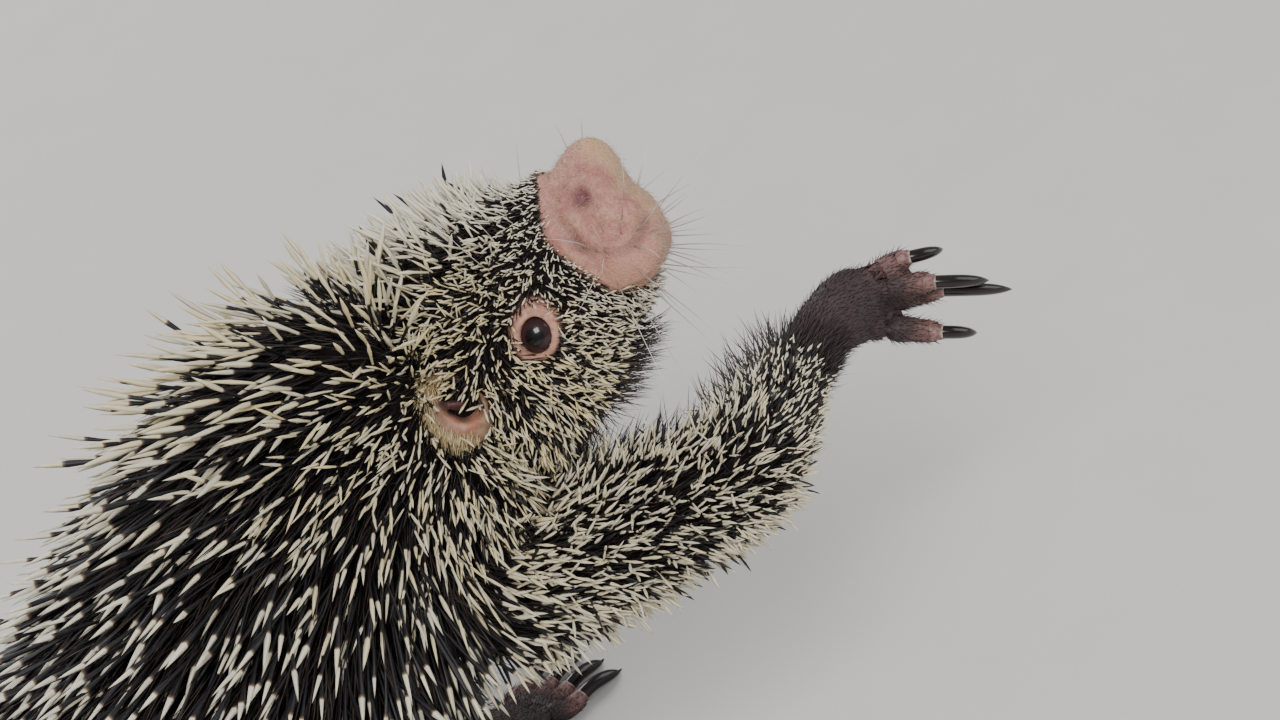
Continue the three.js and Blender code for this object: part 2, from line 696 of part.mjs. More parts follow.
// Head, with lids, and with seats for the eyes and ears
function makeHead() {
  const edge = headPoint(MUZZLE_EDGE.x, 0, MUZZLE_EDGE.z);
  const slope = radians(MUZZLE_EDGE.slope);
  const facing = headWay(Math.cos(slope), 0, -Math.sin(slope));
  const whole = skull.solid();
  let head = keepAhead(whole, edge, facing.clone().negate());
  for (const side of Object.values(sides)) {
    head = head.add(lid(side)).subtract(eyeBall(side, GAP)).subtract(earShape(side, 0, GAP));
  }
  addNode('head', withQuills(head, 'head'), 'crown');

  let muzzle = keepAhead(whole, edge, facing);
  const inner = (depth) => foldFloor.solid({ extra: -depth });
  muzzle = muzzle.subtract(noseBand().subtract(inner(NOSE_FOLD.deep)));
  const mouth = headSlab(MOUTH.back + MOUTH.long / 2, MOUTH.z, MOUTH.slope, MOUTH.long, SLAB, MOUTH.wide);
  muzzle = muzzle.subtract(mouth.subtract(inner(MOUTH.deep)));
  for (const side of Object.values(sides)) {
    const splay = radians(NOSTRIL.splay);
    const out = headWay(Math.cos(splay), side * Math.sin(splay), 0.1);
    const pit = ball(headPoint(NOSTRIL.x, side * NOSTRIL.y, NOSTRIL.z), out, headWay(0, 0, 1),
      [NOSTRIL.deep, NOSTRIL.wide, NOSTRIL.tall], [8, 6]);
    muzzle = muzzle.subtract(pit);
  }
  addNode('muzzle', largest(muzzle), 'flesh');

  for (const [name, side] of Object.entries(sides)) {
    addNode(`eye_${name}`, eyeBall(side), 'eye');
    addNode(`ear_${name}`, largest(earShape(side, 0).subtract(earShape(side, EAR.wall))), 'ear');
  }
}

// The trunk in three lengths, each joined with its own quills
function makeTrunk() {
  const headRoom = skull.solid({ extra: GAP }).add(earShape(1, 0, GAP)).add(earShape(-1, 0, GAP));
  const rear = trunk.solid({ to: TRUNK_SPLIT });
  const front = trunk.solid({ from: TRUNK_SPLIT, to: NECK_START }).subtract(headRoom);
  const neck = trunk.solid({ from: NECK_START }).subtract(headRoom);
  addNode('torso_rear', withQuills(rear, 'torso_rear'), 'quilled');
  addNode('torso_front', withQuills(largest(front), 'torso_front'), 'quilled');
  addNode('neck', withQuills(largest(neck), 'neck'), 'quilled');
}

function makeTail() {
  const rump = trunk.solid({ extra: GAP });
  for (let part = 0; part < TAIL_PARTS; part += 1) {
    const name = `tail_${part + 1}`;
    const piece = onFloor(tail.solid({ from: part / TAIL_PARTS, to: (part + 1) / TAIL_PARTS }));
    const whole = part === 0 ? withQuills(largest(piece.subtract(rump)), name) : largest(piece);
    addNode(name, whole, 'tail');
  }
}

// Arms and legs: each upper piece meets the trunk, each lower piece meets the upper one and the paw
function makeLimb({ names, lofts, paw, size, onGround }) {
  const [upper, lower] = lofts;
  const body = trunk.solid({ extra: GAP }).add(skull.solid({ extra: GAP }));
  const { palm, toes, claws } = makePaw(paw, size, onGround);
  const ground = onGround ? onFloor : (solid) => solid;
  const others = [upper.solid({ extra: GAP }), palm.solid({ extra: GAP }), body];
  const lowerSolid = others.reduce((solid, other) => solid.subtract(other), lower.solid());
  addNode(names[0], withQuills(largest(upper.solid().subtract(body)), names[0]), 'quilled');
  addNode(names[1], withQuills(largest(ground(lowerSolid)), names[1]), 'fur');
  addNode(names[2], largest(ground(wasm.Manifold.union([palm.solid(), ...toes]))), 'fur');
  claws.forEach((claw, i) => addNode(`claw_${names[2]}_${i + 1}`, claw, 'claw'));
}

// Toes side by side across a paw that stands
function evenToes({ toe, spread, fan, claw }) {
  return Array.from({ length: TOES }, (_, i) => {
    const step = i - (TOES - 1) / 2;
    const length = toe * (1 - 0.07 * Math.abs(step) ** 1.5);
    const across = (along) => step * (spread + fan * along);
    return { root: across(0), tip: across(length), point: across(length + claw), high: 0, length, claw };
  });
}

// A paw: a palm, four toes fused to it and a curved claw ahead of each
function makePaw(paw, size, onGround) {
  const { bend = 0, toes = evenToes(size) } = paw;
  const { palm: palmLength, wide, thick, toeRadius } = size;
  const ahead = vector(paw.ahead).normalize();
  const across = new THREE.Vector3().crossVectors(vector(paw.back), ahead).normalize();
  const back = new THREE.Vector3().crossVectors(ahead, across);
  const at = (along, left, high) => vector(paw.heel).addScaledVector(ahead, along)
    .addScaledVector(across, left).addScaledVector(back, high);
  const oval = (point, wideHalf, highHalf) => [...point.toArray(), wideHalf, highHalf];
  const up = back.toArray();
  const palm = new Loft({
    row: [
      oval(at(bend ? 1 : -4, bend, 0.5), wide * 0.78, thick),
      oval(at(palmLength * 0.3, bend * 0.5, 0), wide * 0.88, thick),
      oval(at(palmLength * 0.62, bend * 0.1, -0.6), wide, thick * 0.85),
      oval(at(palmLength * 0.82, 0, -1.6), wide * 0.94, thick * 0.7),
    ],
    up, sides: 8, steps: 3, caps: [5, 5],
  });
  const drop = onGround ? toeRadius - paw.heel[2] - SOLE_DEPTH : REACHING_DROP;
  const toeSolids = [];
  let grown = palm.solid({ extra: GAP });
  const clawSolids = [];
  for (const { root, tip, point, high: lift, length, claw } of toes) {
    const way = (along, high) => at(palmLength + along, root + ((tip - root) * along) / length, high);
    const low = drop + lift;
    const toeRow = [
      oval(way(-8, -1.5), toeRadius * 1.05, toeRadius * 1.05),
      oval(way(length * 0.35, low / 2 - 0.2), toeRadius, toeRadius),
      oval(way(length * 0.75, low + 0.2), toeRadius * 0.95, toeRadius * 0.95),
      oval(way(length, low), toeRadius * 0.85, toeRadius * 0.85),
    ];
    const toeLoft = new Loft({ row: toeRow, up, sides: 6, steps: 2, caps: [0, 0] });
    toeSolids.push(toeLoft.solid());
    grown = grown.add(toeLoft.solid({ extra: GAP }));
    const clawRow = CLAW_STATIONS.map((s) => {
      const high = low + 0.4 + CLAW_RISE * Math.sin(Math.PI * s * 0.75) - CLAW_DROP * s * s * 0.8;
      const girth = CLAW_RADIUS * (1 - s ** CLAW_BLUNT) + 0.3;
      const along = palmLength + length - CLAW_ROOT + claw * s;
      return oval(at(along, tip + (point - tip) * s, high), girth * 0.8, girth);
    });
    clawSolids.push(new Loft({ row: clawRow, up, sides: 5, steps: 4, caps: [0, 0] }).solid());
  }
  const ground = (solid) => (onGround ? solid.trimByPlane(UPWARD, GAP) : solid);
  const claws = clawSolids.map((claw) => largest(ground(claw.subtract(grown))));
  return { palm, toes: toeSolids, claws };
}

plantAll();
makeHead();
makeTrunk();
makeTail();
LIMBS.forEach(makeLimb);

// The origin is at the middle of the bottom of the whole animal
const group = new THREE.Group();
group.add(...nodes);
group.updateMatrixWorld(true);
const bounds = new THREE.Box3().setFromObject(group, true);
group.position.set(-(bounds.min.x + bounds.max.x) / 2, -(bounds.min.y + bounds.max.y) / 2, -bounds.min.z);

export default group;
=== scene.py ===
# %% [markdown]
# # A grasping-tailed porcupine, life size and still
#
# The animal crouches on its hind feet and left hand, with its front raised, its head turned and its
# right arm reaching out. The solid model already says how big everything is. Here it gets what makes it
# a porcupine: one skin without seams, a soft pink nose, wet eyes, horn claws and thousands of quills.
#
# Every size is in millimetres, as in the solid model, and becomes metres only where a mesh is made.

# %% Load the frame
import math

import bpy
import numpy as np
from mathutils import Matrix, Vector
from mathutils.bvhtree import BVHTree
from mathutils.kdtree import KDTree
from numpy.linalg import norm


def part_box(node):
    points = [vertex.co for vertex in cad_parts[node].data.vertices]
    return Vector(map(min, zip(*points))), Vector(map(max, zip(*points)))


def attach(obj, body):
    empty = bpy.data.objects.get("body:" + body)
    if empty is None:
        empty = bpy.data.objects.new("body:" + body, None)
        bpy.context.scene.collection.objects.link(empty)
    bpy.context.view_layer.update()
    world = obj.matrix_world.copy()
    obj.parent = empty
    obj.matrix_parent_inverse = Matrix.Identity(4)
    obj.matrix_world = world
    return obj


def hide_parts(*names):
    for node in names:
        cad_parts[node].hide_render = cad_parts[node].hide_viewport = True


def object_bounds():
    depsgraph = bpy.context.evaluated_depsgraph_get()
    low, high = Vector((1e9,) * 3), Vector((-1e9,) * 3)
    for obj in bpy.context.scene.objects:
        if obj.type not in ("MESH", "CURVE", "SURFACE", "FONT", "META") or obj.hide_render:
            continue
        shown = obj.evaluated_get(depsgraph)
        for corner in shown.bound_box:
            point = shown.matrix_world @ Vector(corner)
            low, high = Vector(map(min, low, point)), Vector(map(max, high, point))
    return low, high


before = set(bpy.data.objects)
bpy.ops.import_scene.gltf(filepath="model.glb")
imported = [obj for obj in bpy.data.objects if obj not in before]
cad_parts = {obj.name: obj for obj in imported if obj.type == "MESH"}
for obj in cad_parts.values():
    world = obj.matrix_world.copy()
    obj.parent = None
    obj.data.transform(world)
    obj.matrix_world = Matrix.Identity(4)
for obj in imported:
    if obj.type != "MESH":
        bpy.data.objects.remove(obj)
CAD_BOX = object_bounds()
bpy.ops.object.select_all(action="DESELECT")
MM = 0.001
print("nodes in the solid model:", len(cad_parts))

# %% [markdown]
# ## Where the head is
#
# The head is turned, lifted and tipped on its neck, so it has axes of its own: x to the nose, y to the
# animal's left and z to the crown, from the middle between the eyes. All work on the face is done in
# these axes, where left and right are alike. One eye of the solid model tells how far the whole animal
# was moved when its origin went to the middle of the floor under it.

# %% Head axes and the origin
HEAD_MIDDLE = np.array([110.5, -38, 195])
HEAD_YAW, HEAD_PITCH, HEAD_ROLL = -30, 30, -27
EYE_SIDE = 22
SIDES = {"right": -1, "left": 1}


def turn(axis, degrees):
    return np.array(Matrix.Rotation(math.radians(degrees), 3, axis))


HEAD_AXES = turn("Z", HEAD_YAW) @ turn("Y", -HEAD_PITCH) @ turn("X", HEAD_ROLL)


def head_point(point):
    """A point of the head's axes in the animal's own."""
    return HEAD_MIDDLE + np.asarray(point, float) @ HEAD_AXES.T


def head_way(way):
    return np.asarray(way, float) @ HEAD_AXES.T


eye_low, eye_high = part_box("eye_right")
ORIGIN = np.array(eye_low + eye_high) / 2 / MM - head_point((0, -EYE_SIDE, 0))


def to_world(points):
    """Millimetres in the animal's own axes to metres in the frame."""
    return (np.asarray(points, float) + ORIGIN) * MM


def from_world(points):
    return np.asarray(points, float) / MM - ORIGIN


def into_head(points):
    """Metres in the frame to millimetres in the head's axes."""
    return (from_world(points) - HEAD_MIDDLE) @ HEAD_AXES


print("origin moved by", ORIGIN.round(2), "mm")

# %% [markdown]
# ## The camera
#
# The picture looks down on the animal from its right and behind the shoulder, tipped to one side, from
# less than a metre. The visible eye is the surest landmark, so the camera stands at a set distance from
# it, along a set direction, and is moved sideways until the eye falls on its place in the picture.

# %% Camera
PICTURE_WIDTH, PICTURE_HEIGHT = 1280, 720
EYE_PIXEL = (535, 337)
EYE_FRONT = (0, -27.5, 0)
LENS, SENSOR = 81, 36
CAMERA_DISTANCE = 800
CAMERA_AZIMUTH, CAMERA_ELEVATION, CAMERA_ROLL = map(math.radians, (-30, 33, 24))


def make_camera():
    a, e, r = CAMERA_AZIMUTH, CAMERA_ELEVATION, CAMERA_ROLL
    look = np.array([-math.sin(a) * math.cos(e), math.cos(a) * math.cos(e), -math.sin(e)])
    level = np.array([math.cos(a), math.sin(a), 0.0])
    upright = np.cross(level, look)
    right = level * math.cos(r) - upright * math.sin(r)
    up = level * math.sin(r) + upright * math.cos(r)
    focal = LENS / SENSOR * PICTURE_WIDTH
    across = (EYE_PIXEL[0] - PICTURE_WIDTH / 2) / focal
    down = (EYE_PIXEL[1] - PICTURE_HEIGHT / 2) / focal
    place = head_point(EYE_FRONT) - CAMERA_DISTANCE * (look + across * right - down * up)
    data = bpy.data.cameras.new("camera")
    data.lens, data.sensor_width = LENS, SENSOR
    data.clip_start, data.clip_end = 0.02, 20
    camera = bpy.data.objects.new("camera", data)
    axes = Matrix([right, up, -look]).transposed().to_4x4()
    camera.matrix_world = Matrix.Translation(Vector(to_world(place))) @ axes
    bpy.context.scene.collection.objects.link(camera)
    bpy.context.scene.camera = camera
    return camera


camera = make_camera()
print("camera at", [round(v, 3) for v in camera.location])

# %% [markdown]
# ## Bodies
#
# A trunk, a tail or a limb is a line with ovals strung on it. The rows below repeat the solid model's
# rows, which are the skin itself, without the coat. A smooth curve goes through the ovals, and at any
# place along it and round it the body tells where its skin is and which way is ahead, aside and up.

# %% A smooth curve through knots
def unit(v):
    return v / np.maximum(norm(v, axis=-1, keepdims=True), 1e-9)


def apart(points, place):
    """How far each point is from one place."""
    return norm(points - np.array(place), axis=1)


def smooth(x, low, high):
    """0 below `low`, 1 above `high`, and smooth between them."""
    s = np.clip((np.asarray(x, float) - low) / (high - low), 0, 1)
    return s * s * (3 - 2 * s)


def through(knots, t, uneven=True):
    """Points of a smooth line through the knots, at shares t of the way along it."""
    full = np.vstack([2 * knots[0] - knots[1], knots, 2 * knots[-1] - knots[-2]])
    place = np.clip(t, 0, 1) * (len(knots) - 1)
    i = np.minimum(place.astype(int), len(knots) - 2)
    w = (place - i)[:, None]
    p = [full[i + k] for k in range(4)]
    gap = [norm(p[k + 1] - p[k], axis=1)[:, None] ** 0.5 if uneven else 1.0 for k in range(3)]
    step = [p[k + 1] - p[k] for k in range(3)]
    a = step[0] / gap[0] - (step[0] + step[1]) / (gap[0] + gap[1]) + step[1] / gap[1]
    b = step[1] / gap[1] - (step[1] + step[2]) / (gap[1] + gap[2]) + step[2] / gap[2]
    a, b = a * gap[1], b * gap[1]
    return p[1] + a * w + (3 * step[1] - 2 * a - b) * w**2 + (a + b - 2 * step[1]) * w**3


# %% A body: a row of ovals, each [x, y, z, half width, half height]
class Body:
    SAMPLE_STEP = 3
    FAR = 25
    NUDGE = 1e-4
    BATCH = 20000

    def __init__(self, name, row, up=(0, 0, 1), caps=(0, 0)):
        row = np.array(row, float)
        self.name, self.up, self.caps = name, np.array(up, float), caps
        self.kind = name.replace("_right", "").replace("_left", "")
        self.line, self.halves = row[:, :3], row[:, 3:]
        rough = through(self.line, np.linspace(0, 1, 100))
        self.length = norm(np.diff(rough, axis=0), axis=1).sum()
        self.shares = np.linspace(0, 1, max(8, int(self.length / self.SAMPLE_STEP)))
        self.samples = through(self.line, self.shares)

    def frames(self, t):
        middle = through(self.line, t)
        after, before = np.minimum(t + self.NUDGE, 1), np.maximum(t - self.NUDGE, 0)
        ahead = unit(through(self.line, after) - through(self.line, before))
        side = unit(np.cross(self.up, ahead))
        return middle, ahead, side, np.cross(ahead, side), through(self.halves, t, uneven=False)

    def skin(self, t, angle, shift=0.0, scale=1.0):
        middle, ahead, side, top, half = self.frames(t)
        across, height = np.cos(angle) * half[:, 0] * scale, np.sin(angle) * half[:, 1] * scale
        return middle + ahead * np.reshape(shift, (-1, 1)) + side * across[:, None] + top * height[:, None]

    def locate(self, points):
        """Where points lie: share along, angle round, and how far outside the skin."""
        reach = self.halves.max() + self.FAR
        low, high = self.samples.min(axis=0) - reach, self.samples.max(axis=0) + reach
        close = ((points > low) & (points < high)).all(axis=1)
        t, angle = np.zeros(len(points)), np.zeros(len(points))
        outside = np.full(len(points), float(self.FAR))
        if close.any():
            t[close], angle[close], outside[close] = self.locate_close(points[close])
        return t, angle, outside

    def locate_close(self, points):
        """Starts from the nearest sample and then slides along the line, twice."""
        near = np.empty(len(points), int)
        for start in range(0, len(points), self.BATCH):
            part = slice(start, start + self.BATCH)
            gaps = points[part][:, None, :] - self.samples[None, :, :]
            near[part] = (gaps**2).sum(axis=2).argmin(axis=1)
        t = self.shares[near]
        for _ in range(2):
            middle, ahead, *_ = self.frames(t)
            t = np.clip(t + ((points - middle) * ahead).sum(axis=1) / self.length, 0, 1)
        middle, ahead, side, top, half = self.frames(t)
        away = points - middle
        across, height = (away * side).sum(axis=1), (away * top).sum(axis=1)
        past = (away * ahead).sum(axis=1)
        cap = np.where(past < 0, max(self.caps[0], 1), max(self.caps[1], 1))
        share = np.sqrt((across / half[:, 0])**2 + (height / half[:, 1])**2 + (past / cap)**2)
        return t, np.arctan2(height, across), (share - 1) * half.min(axis=1)


# %% The rows of the trunk, head and tail
TRUNK_ROW = [
    (-236, 0, 50, 20, 18), (-220, 0, 56, 34, 31), (-190, 0, 65, 45, 44), (-150, 0, 75, 52, 52),
    (-105, 0, 88, 56, 54), (-58, 0, 108, 54, 53), (-10, 0, 135, 50, 52), (30, -3, 161, 46, 50),
    (52, -9, 175, 42, 47), (74, -18, 184, 36, 40),
]
HEAD_ROW = [
    (-50, 2, 14, 13), (-44, 3, 25, 24), (-32, 4, 31, 30), (-15, 5, 31, 31), (0, 5, 27, 29.5),
    (13, 6, 22.5, 25), (23, 7, 18.8, 20.8), (31, 7, 17.8, 19), (39, 7, 17, 18), (44.5, 8, 14.5, 15),
]
TAIL_ROW = [
    (-212, 0, 21, 19), (-244, 2, 17.5, 16.5), (-282, 12, 15, 14), (-318, 34, 13, 12.2),
    (-344, 68, 11.6, 11), (-350, 108, 10.2, 9.8), (-334, 144, 9, 8.8), (-300, 166, 8, 7.8),
    (-262, 162, 7, 6.8), (-243, 136, 6, 6), (-254, 111, 5, 5), (-276, 106, 4.2, 4.2),
]
TAIL_LIFT = 34
SOLE_DEPTH = 0.6


def tail_row():
    """The tail leaves the rump and comes down to the floor."""
    rows = []
    for i, (x, y, wide, high) in enumerate(TAIL_ROW):
        lift = TAIL_LIFT * max(0, 1 - i / 3) ** 1.6
        rows.append((x, y, high - SOLE_DEPTH + lift, wide, high))
    return rows


def head_row():
    return [(*head_point((x, 0, z)), wide, high) for x, z, wide, high in HEAD_ROW]


trunk = Body("trunk", TRUNK_ROW, caps=(8, 10))
skull = Body("skull", head_row(), up=head_way((0, 0, 1)), caps=(5, 4.5))
tail = Body("tail", tail_row(), caps=(6, 4))
print("trunk", round(trunk.length), "mm, tail", round(tail.length), "mm")

# %% The rows of the limbs
FORWARD = (1, 0, 0)
RIGHT_UPPER_ARM = [
    (52, -30, 140, 24, 22), (76, -46, 135, 20, 19), (101, -64, 136, 16, 16), (124, -79, 138.5, 13, 14),
]
RIGHT_FOREARM = [
    (124, -79, 138.5, 13, 14), (141, -72.5, 138.5, 12.5, 12.5), (162, -61, 136, 10.5, 10.5),
    (179, -55, 134, 9, 8),
]
LEFT_UPPER_ARM = [
    (44, 26, 142, 24, 24), (48, 42, 124, 20, 22), (43, 52, 100, 16, 17), (40, 57, 80, 13, 14),
]
LEFT_FOREARM = [
    (40, 57, 80, 13, 14), (46, 58, 60, 12, 12.5), (57, 58.5, 36, 9.5, 10), (66, 59, 17, 8, 8),
]
THIGH = [
    (-186, 34, 72, 32, 34), (-168, 52, 65, 27, 32), (-142, 70, 55, 22, 27), (-120, 80, 47, 18, 20),
]
SHANK = [
    (-120, 80, 47, 16, 16), (-144, 80, 38, 16, 15), (-168, 78, 27, 12.5, 12), (-188, 75, 16, 10, 10),
]


def turned(row, side):
    """The row as it is for the left side, mirrored for the right."""
    return [(x, y * side, *rest) for x, y, *rest in row]


UPPERS = [
    Body("upper_arm_right", RIGHT_UPPER_ARM, caps=(10, 5)),
    Body("upper_arm_left", LEFT_UPPER_ARM, up=FORWARD, caps=(10, 5)),
    Body("thigh_right", turned(THIGH, -1), caps=(10, 5)),
    Body("thigh_left", turned(THIGH, 1), caps=(10, 5)),
]
LOWERS = [
    Body("forearm_right", RIGHT_FOREARM, caps=(10, 5)),
    Body("forearm_left", LEFT_FOREARM, up=FORWARD, caps=(10, 5)),
    Body("shank_right", turned(SHANK, -1), caps=(10, 5)),
    Body("shank_left", turned(SHANK, 1), caps=(10, 5)),
]
print("limbs:", [body.name for body in UPPERS + LOWERS])

# %% [markdown]
# ## Paws
#
# A paw is a broad palm with four toes. The hand that reaches out holds its toes as the picture shows,
# each with its own place and length, while the paws on the floor spread theirs evenly. Each toe is a
# body too, and so is the horn of each claw, so the same tools shape all of them.

# %% Paw sizes
REACHING_TOES = [
    {"root": -7.8, "tip": -10.2, "point": -11.4, "high": 0, "length": 17, "claw": 16},
    {"root": 0, "tip": 2.6, "point": 1.4, "high": -3.5, "length": 19, "claw": 27},
    {"root": 3.5, "tip": 5, "point": 4.5, "high": 2.7, "length": 15, "claw": 22},
    {"root": 8.4, "tip": 12.3, "point": 15, "high": -0.5, "length": 8.5, "claw": 15.5},
]
HAND = {"palm": 24, "wide": 11.5, "thick": 7.5, "toe": 17, "radius": 3.9, "spread": 5.6, "fan": 0.13,
        "claw": 21}
FOOT = {"palm": 52, "wide": 13.5, "thick": 9, "toe": 17, "radius": 4.4, "spread": 6.2, "fan": 0.1,
        "claw": 19}
PAWS = {
    "hand_right": dict(size=HAND, heel=(184.4, -49.5, 145), ahead=(0.77, -0.51, -0.37),
                       back=(-0.42, -0.73, 0.54), bend=-13, toes=REACHING_TOES),
    "hand_left": dict(size=HAND, heel=(66, 59, 8.4), ahead=(0.985, 0.12, -0.05), back=(0.05, 0, 1)),
    "foot_right": dict(size=FOOT, heel=(-196, -75, 9.4), ahead=(0.99, -0.13, -0.03), back=(0.03, 0, 1)),
    "foot_left": dict(size=FOOT, heel=(-196, 75, 9.4), ahead=(0.99, 0.13, -0.03), back=(0.03, 0, 1)),
}
PAW_HEEL = {name: np.array(spec["heel"]) for name, spec in PAWS.items()}
PAW_AHEAD = {name: unit(np.array(spec["ahead"], float)) for name, spec in PAWS.items()}
TOES = 4
TOE_TAPER = 0.07
REACHING_DROP = -2.5
CLAW_STATIONS = (0, 0.15, 0.3, 0.45, 0.6, 0.75, 0.86, 0.94, 1)
CLAW_RADIUS, CLAW_BLUNT, CLAW_ROOT, CLAW_RISE, CLAW_DROP = 2.35, 5.5, 2, 3.2, 5.4
CLAW_FLAT, CLAW_POINT = 0.8, 0.25


def even_toes(size):
    """The toes of a paw on the floor, fanned out, the outer ones shorter."""
    toes = []
    for i in range(TOES):
        step = i - (TOES - 1) / 2
        length = size["toe"] * (1 - TOE_TAPER * abs(step) ** 1.5)
        stops = (0, length, length + size["claw"])
        across = [step * (size["spread"] + size["fan"] * along) for along in stops]
        ends = dict(zip(("root", "tip", "point"), across))
        toes.append({**ends, "high": 0, "length": length, "claw": size["claw"]})
    return toes


# %% Palms, toes and claws as bodies
def paw_bodies(name, size, heel, ahead, back, bend=0, toes=None):
    """The palm, the toes and the claws of one paw."""
    ahead = unit(np.array(ahead, float))
    across = unit(np.cross(back, ahead))
    rise = np.cross(ahead, across)

    def oval(along, left, high, wide, tall):
        return (*(heel + ahead * along + across * left + rise * high), wide, tall)

    length, wide, thick, radius = size["palm"], size["wide"], size["thick"], size["radius"]
    palm = Body(name, [
        oval(1 if bend else -4, bend, 0.5, wide * 0.78, thick),
        oval(length * 0.3, bend * 0.5, 0, wide * 0.88, thick),
        oval(length * 0.62, bend * 0.1, -0.6, wide, thick * 0.85),
        oval(length * 0.82, 0, -1.6, wide * 0.94, thick * 0.7),
    ], up=rise, caps=(5, 5))
    drop = REACHING_DROP if bend else radius - heel[2] - SOLE_DEPTH
    toe_bodies, claw_bodies = [], []
    for i, toe in enumerate(toes or even_toes(size)):
        low, reach = drop + toe["high"], toe["length"]

        def way(along, high, wide_half, tall_half, toe=toe, reach=reach):
            left = toe["root"] + (toe["tip"] - toe["root"]) * along / reach
            return oval(length + along, left, high, wide_half, tall_half)

        toe_bodies.append(Body(f"{name}_toe_{i + 1}", [
            way(-8, -1.5, radius * 1.05, radius * 1.05),
            way(reach * 0.35, low / 2 - 0.2, radius, radius),
            way(reach * 0.75, low + 0.2, radius * 0.95, radius * 0.95),
            way(reach, low, radius * 0.85, radius * 0.85),
        ], up=rise, caps=(0, 2.2)))
        claw_row = []
        for s in CLAW_STATIONS:
            high = low + 0.4 + CLAW_RISE * math.sin(0.75 * math.pi * s) - CLAW_DROP * s * s * 0.8
            girth = CLAW_RADIUS * (1 - s**CLAW_BLUNT) + CLAW_POINT
            left = toe["tip"] + (toe["point"] - toe["tip"]) * s
            along = length + reach - CLAW_ROOT + toe["claw"] * s
            claw_row.append(oval(along, left, high, girth * CLAW_FLAT, girth))
        claw_bodies.append(Body(f"claw_{name}_{i + 1}", claw_row, up=rise, caps=(1, 0.4)))
    return palm, toe_bodies, claw_bodies


paws = {name: paw_bodies(name, **spec) for name, spec in PAWS.items()}
print("paws:", {name: len(toes) for name, (palm, toes, claws) in paws.items()})

# %% [markdown]
# ## From a ball to a tube
#
# A closed tube with round ends has the same net as a ball: two poles and rings between them. So each
# body starts as a UV sphere, and its vertices are moved to their places on the body: the height on the
# ball says which ring, the direction says where on it. That needs no bridging and leaves no open end.

# %% Mesh helpers
def points_of(piece):
    co = np.empty(len(piece.data.vertices) * 3)
    piece.data.vertices.foreach_get("co", co)
    return co.reshape(-1, 3)


def set_points(piece, points):
    piece.data.vertices.foreach_set("co", np.ascontiguousarray(points, float).ravel())
    piece.data.update()


def choose(*pieces):
    """Selects only these, the last one active."""
    bpy.ops.object.select_all(action="DESELECT")
    for piece in pieces:
        piece.select_set(True)
    bpy.context.view_layer.objects.active = pieces[-1]


def join(name, pieces):
    choose(*pieces)
    bpy.ops.object.join()
    bpy.context.object.name = name
    return bpy.context.object


def shade_smooth(*pieces):
    choose(*pieces)
    bpy.ops.object.shade_smooth()


def face_outwards(piece):
    """Turns the normals out again after the vertices were moved, and smooths the shading."""
    choose(piece)
    bpy.ops.object.mode_set(mode="EDIT")
    bpy.ops.mesh.select_all(action="SELECT")
    bpy.ops.mesh.normals_make_consistent(inside=False)
    bpy.ops.object.mode_set(mode="OBJECT")
    bpy.ops.object.shade_smooth()


def modified(piece, kind, **settings):
    """Adds a modifier to the piece and applies it."""
    choose(piece)
    bpy.ops.object.modifier_add(type=kind)
    modifier = piece.modifiers[-1]
    for key, value in settings.items():
        setattr(modifier, key, value)
    bpy.ops.object.modifier_apply(modifier=modifier.name)
    return piece


# %% Wrap a ball round a body
def ring_on_ball(ball, rings):
    """Which ring of a ball each vertex is on, counted from the upper pole."""
    return np.rint(np.arccos(np.clip(ball[:, 2], -1, 1)) / math.pi * rings).astype(int)


def wrapped(name, body, segments, rings, cap_rings=3):
    turns = np.linspace(1, 0, cap_rings + 1) * math.pi / 2
    t = np.concatenate([np.zeros(cap_rings), np.linspace(0, 1, rings + 1), np.ones(cap_rings)])
    inner = np.zeros(rings - 1)
    shift = np.concatenate([-body.caps[0] * np.sin(turns), inner, body.caps[1] * np.sin(turns[::-1])])
    scale = np.concatenate([np.cos(turns), inner + 1, np.cos(turns[::-1])])
    total = len(t) - 1
    bpy.ops.mesh.primitive_uv_sphere_add(segments=segments, ring_count=total, radius=1)
    piece = bpy.context.object
    piece.name = name
    ball = points_of(piece)
    ring = ring_on_ball(ball, total)
    angle = -np.arctan2(ball[:, 1], ball[:, 0])
    set_points(piece, to_world(body.skin(t[ring], angle, shift[ring], scale[ring])))
    return piece


# %% [markdown]
# ## One skin
#
# On the real animal one skin runs over everything. The tubes overlap at the shoulders, hips and wrists,
# so they are joined, and a voxel remesh melts them into one closed surface. A smooth modifier takes the
# voxel steps away. The voxels are small, so that the fingers stay apart, and that gives far too many
# faces for the back and belly, which the coat hides. There the faces are selected and decimated.

# %% Join the bodies and remesh them
VOXEL = 1.4
SMOOTHING = 12
TRUNK_NET, SKULL_NET, TAIL_NET = (48, 60), (48, 40), (24, 90)
LIMB_NET, PALM_NET, TOE_NET = (28, 24), (24, 14), (16, 12)


def make_skin():
    nets = [(trunk, TRUNK_NET), (skull, SKULL_NET), (tail, TAIL_NET)]
    nets += [(body, LIMB_NET) for body in UPPERS + LOWERS]
    for palm, toes, _ in paws.values():
        nets += [(palm, PALM_NET), *((toe, TOE_NET) for toe in toes)]
    skin = join("skin", [wrapped("tube", body, *net) for body, net in nets])
    modified(skin, "REMESH", mode="VOXEL", voxel_size=VOXEL * MM)
    modified(skin, "SMOOTH", factor=0.5, iterations=SMOOTHING)
    return skin


skin = make_skin()
print("skin:", len(skin.data.polygons), "faces")

# %% Pick faces by their place
HEAD_KEPT = {"at": (16, 0, 2), "reach": 38}
PAW_KEPT, PAW_MARGIN = 6, 6
HIDDEN_SHARE = 0.27


def face_middles(piece):
    middle = np.empty(len(piece.data.polygons) * 3)
    piece.data.polygons.foreach_get("center", middle)
    return middle.reshape(-1, 3)


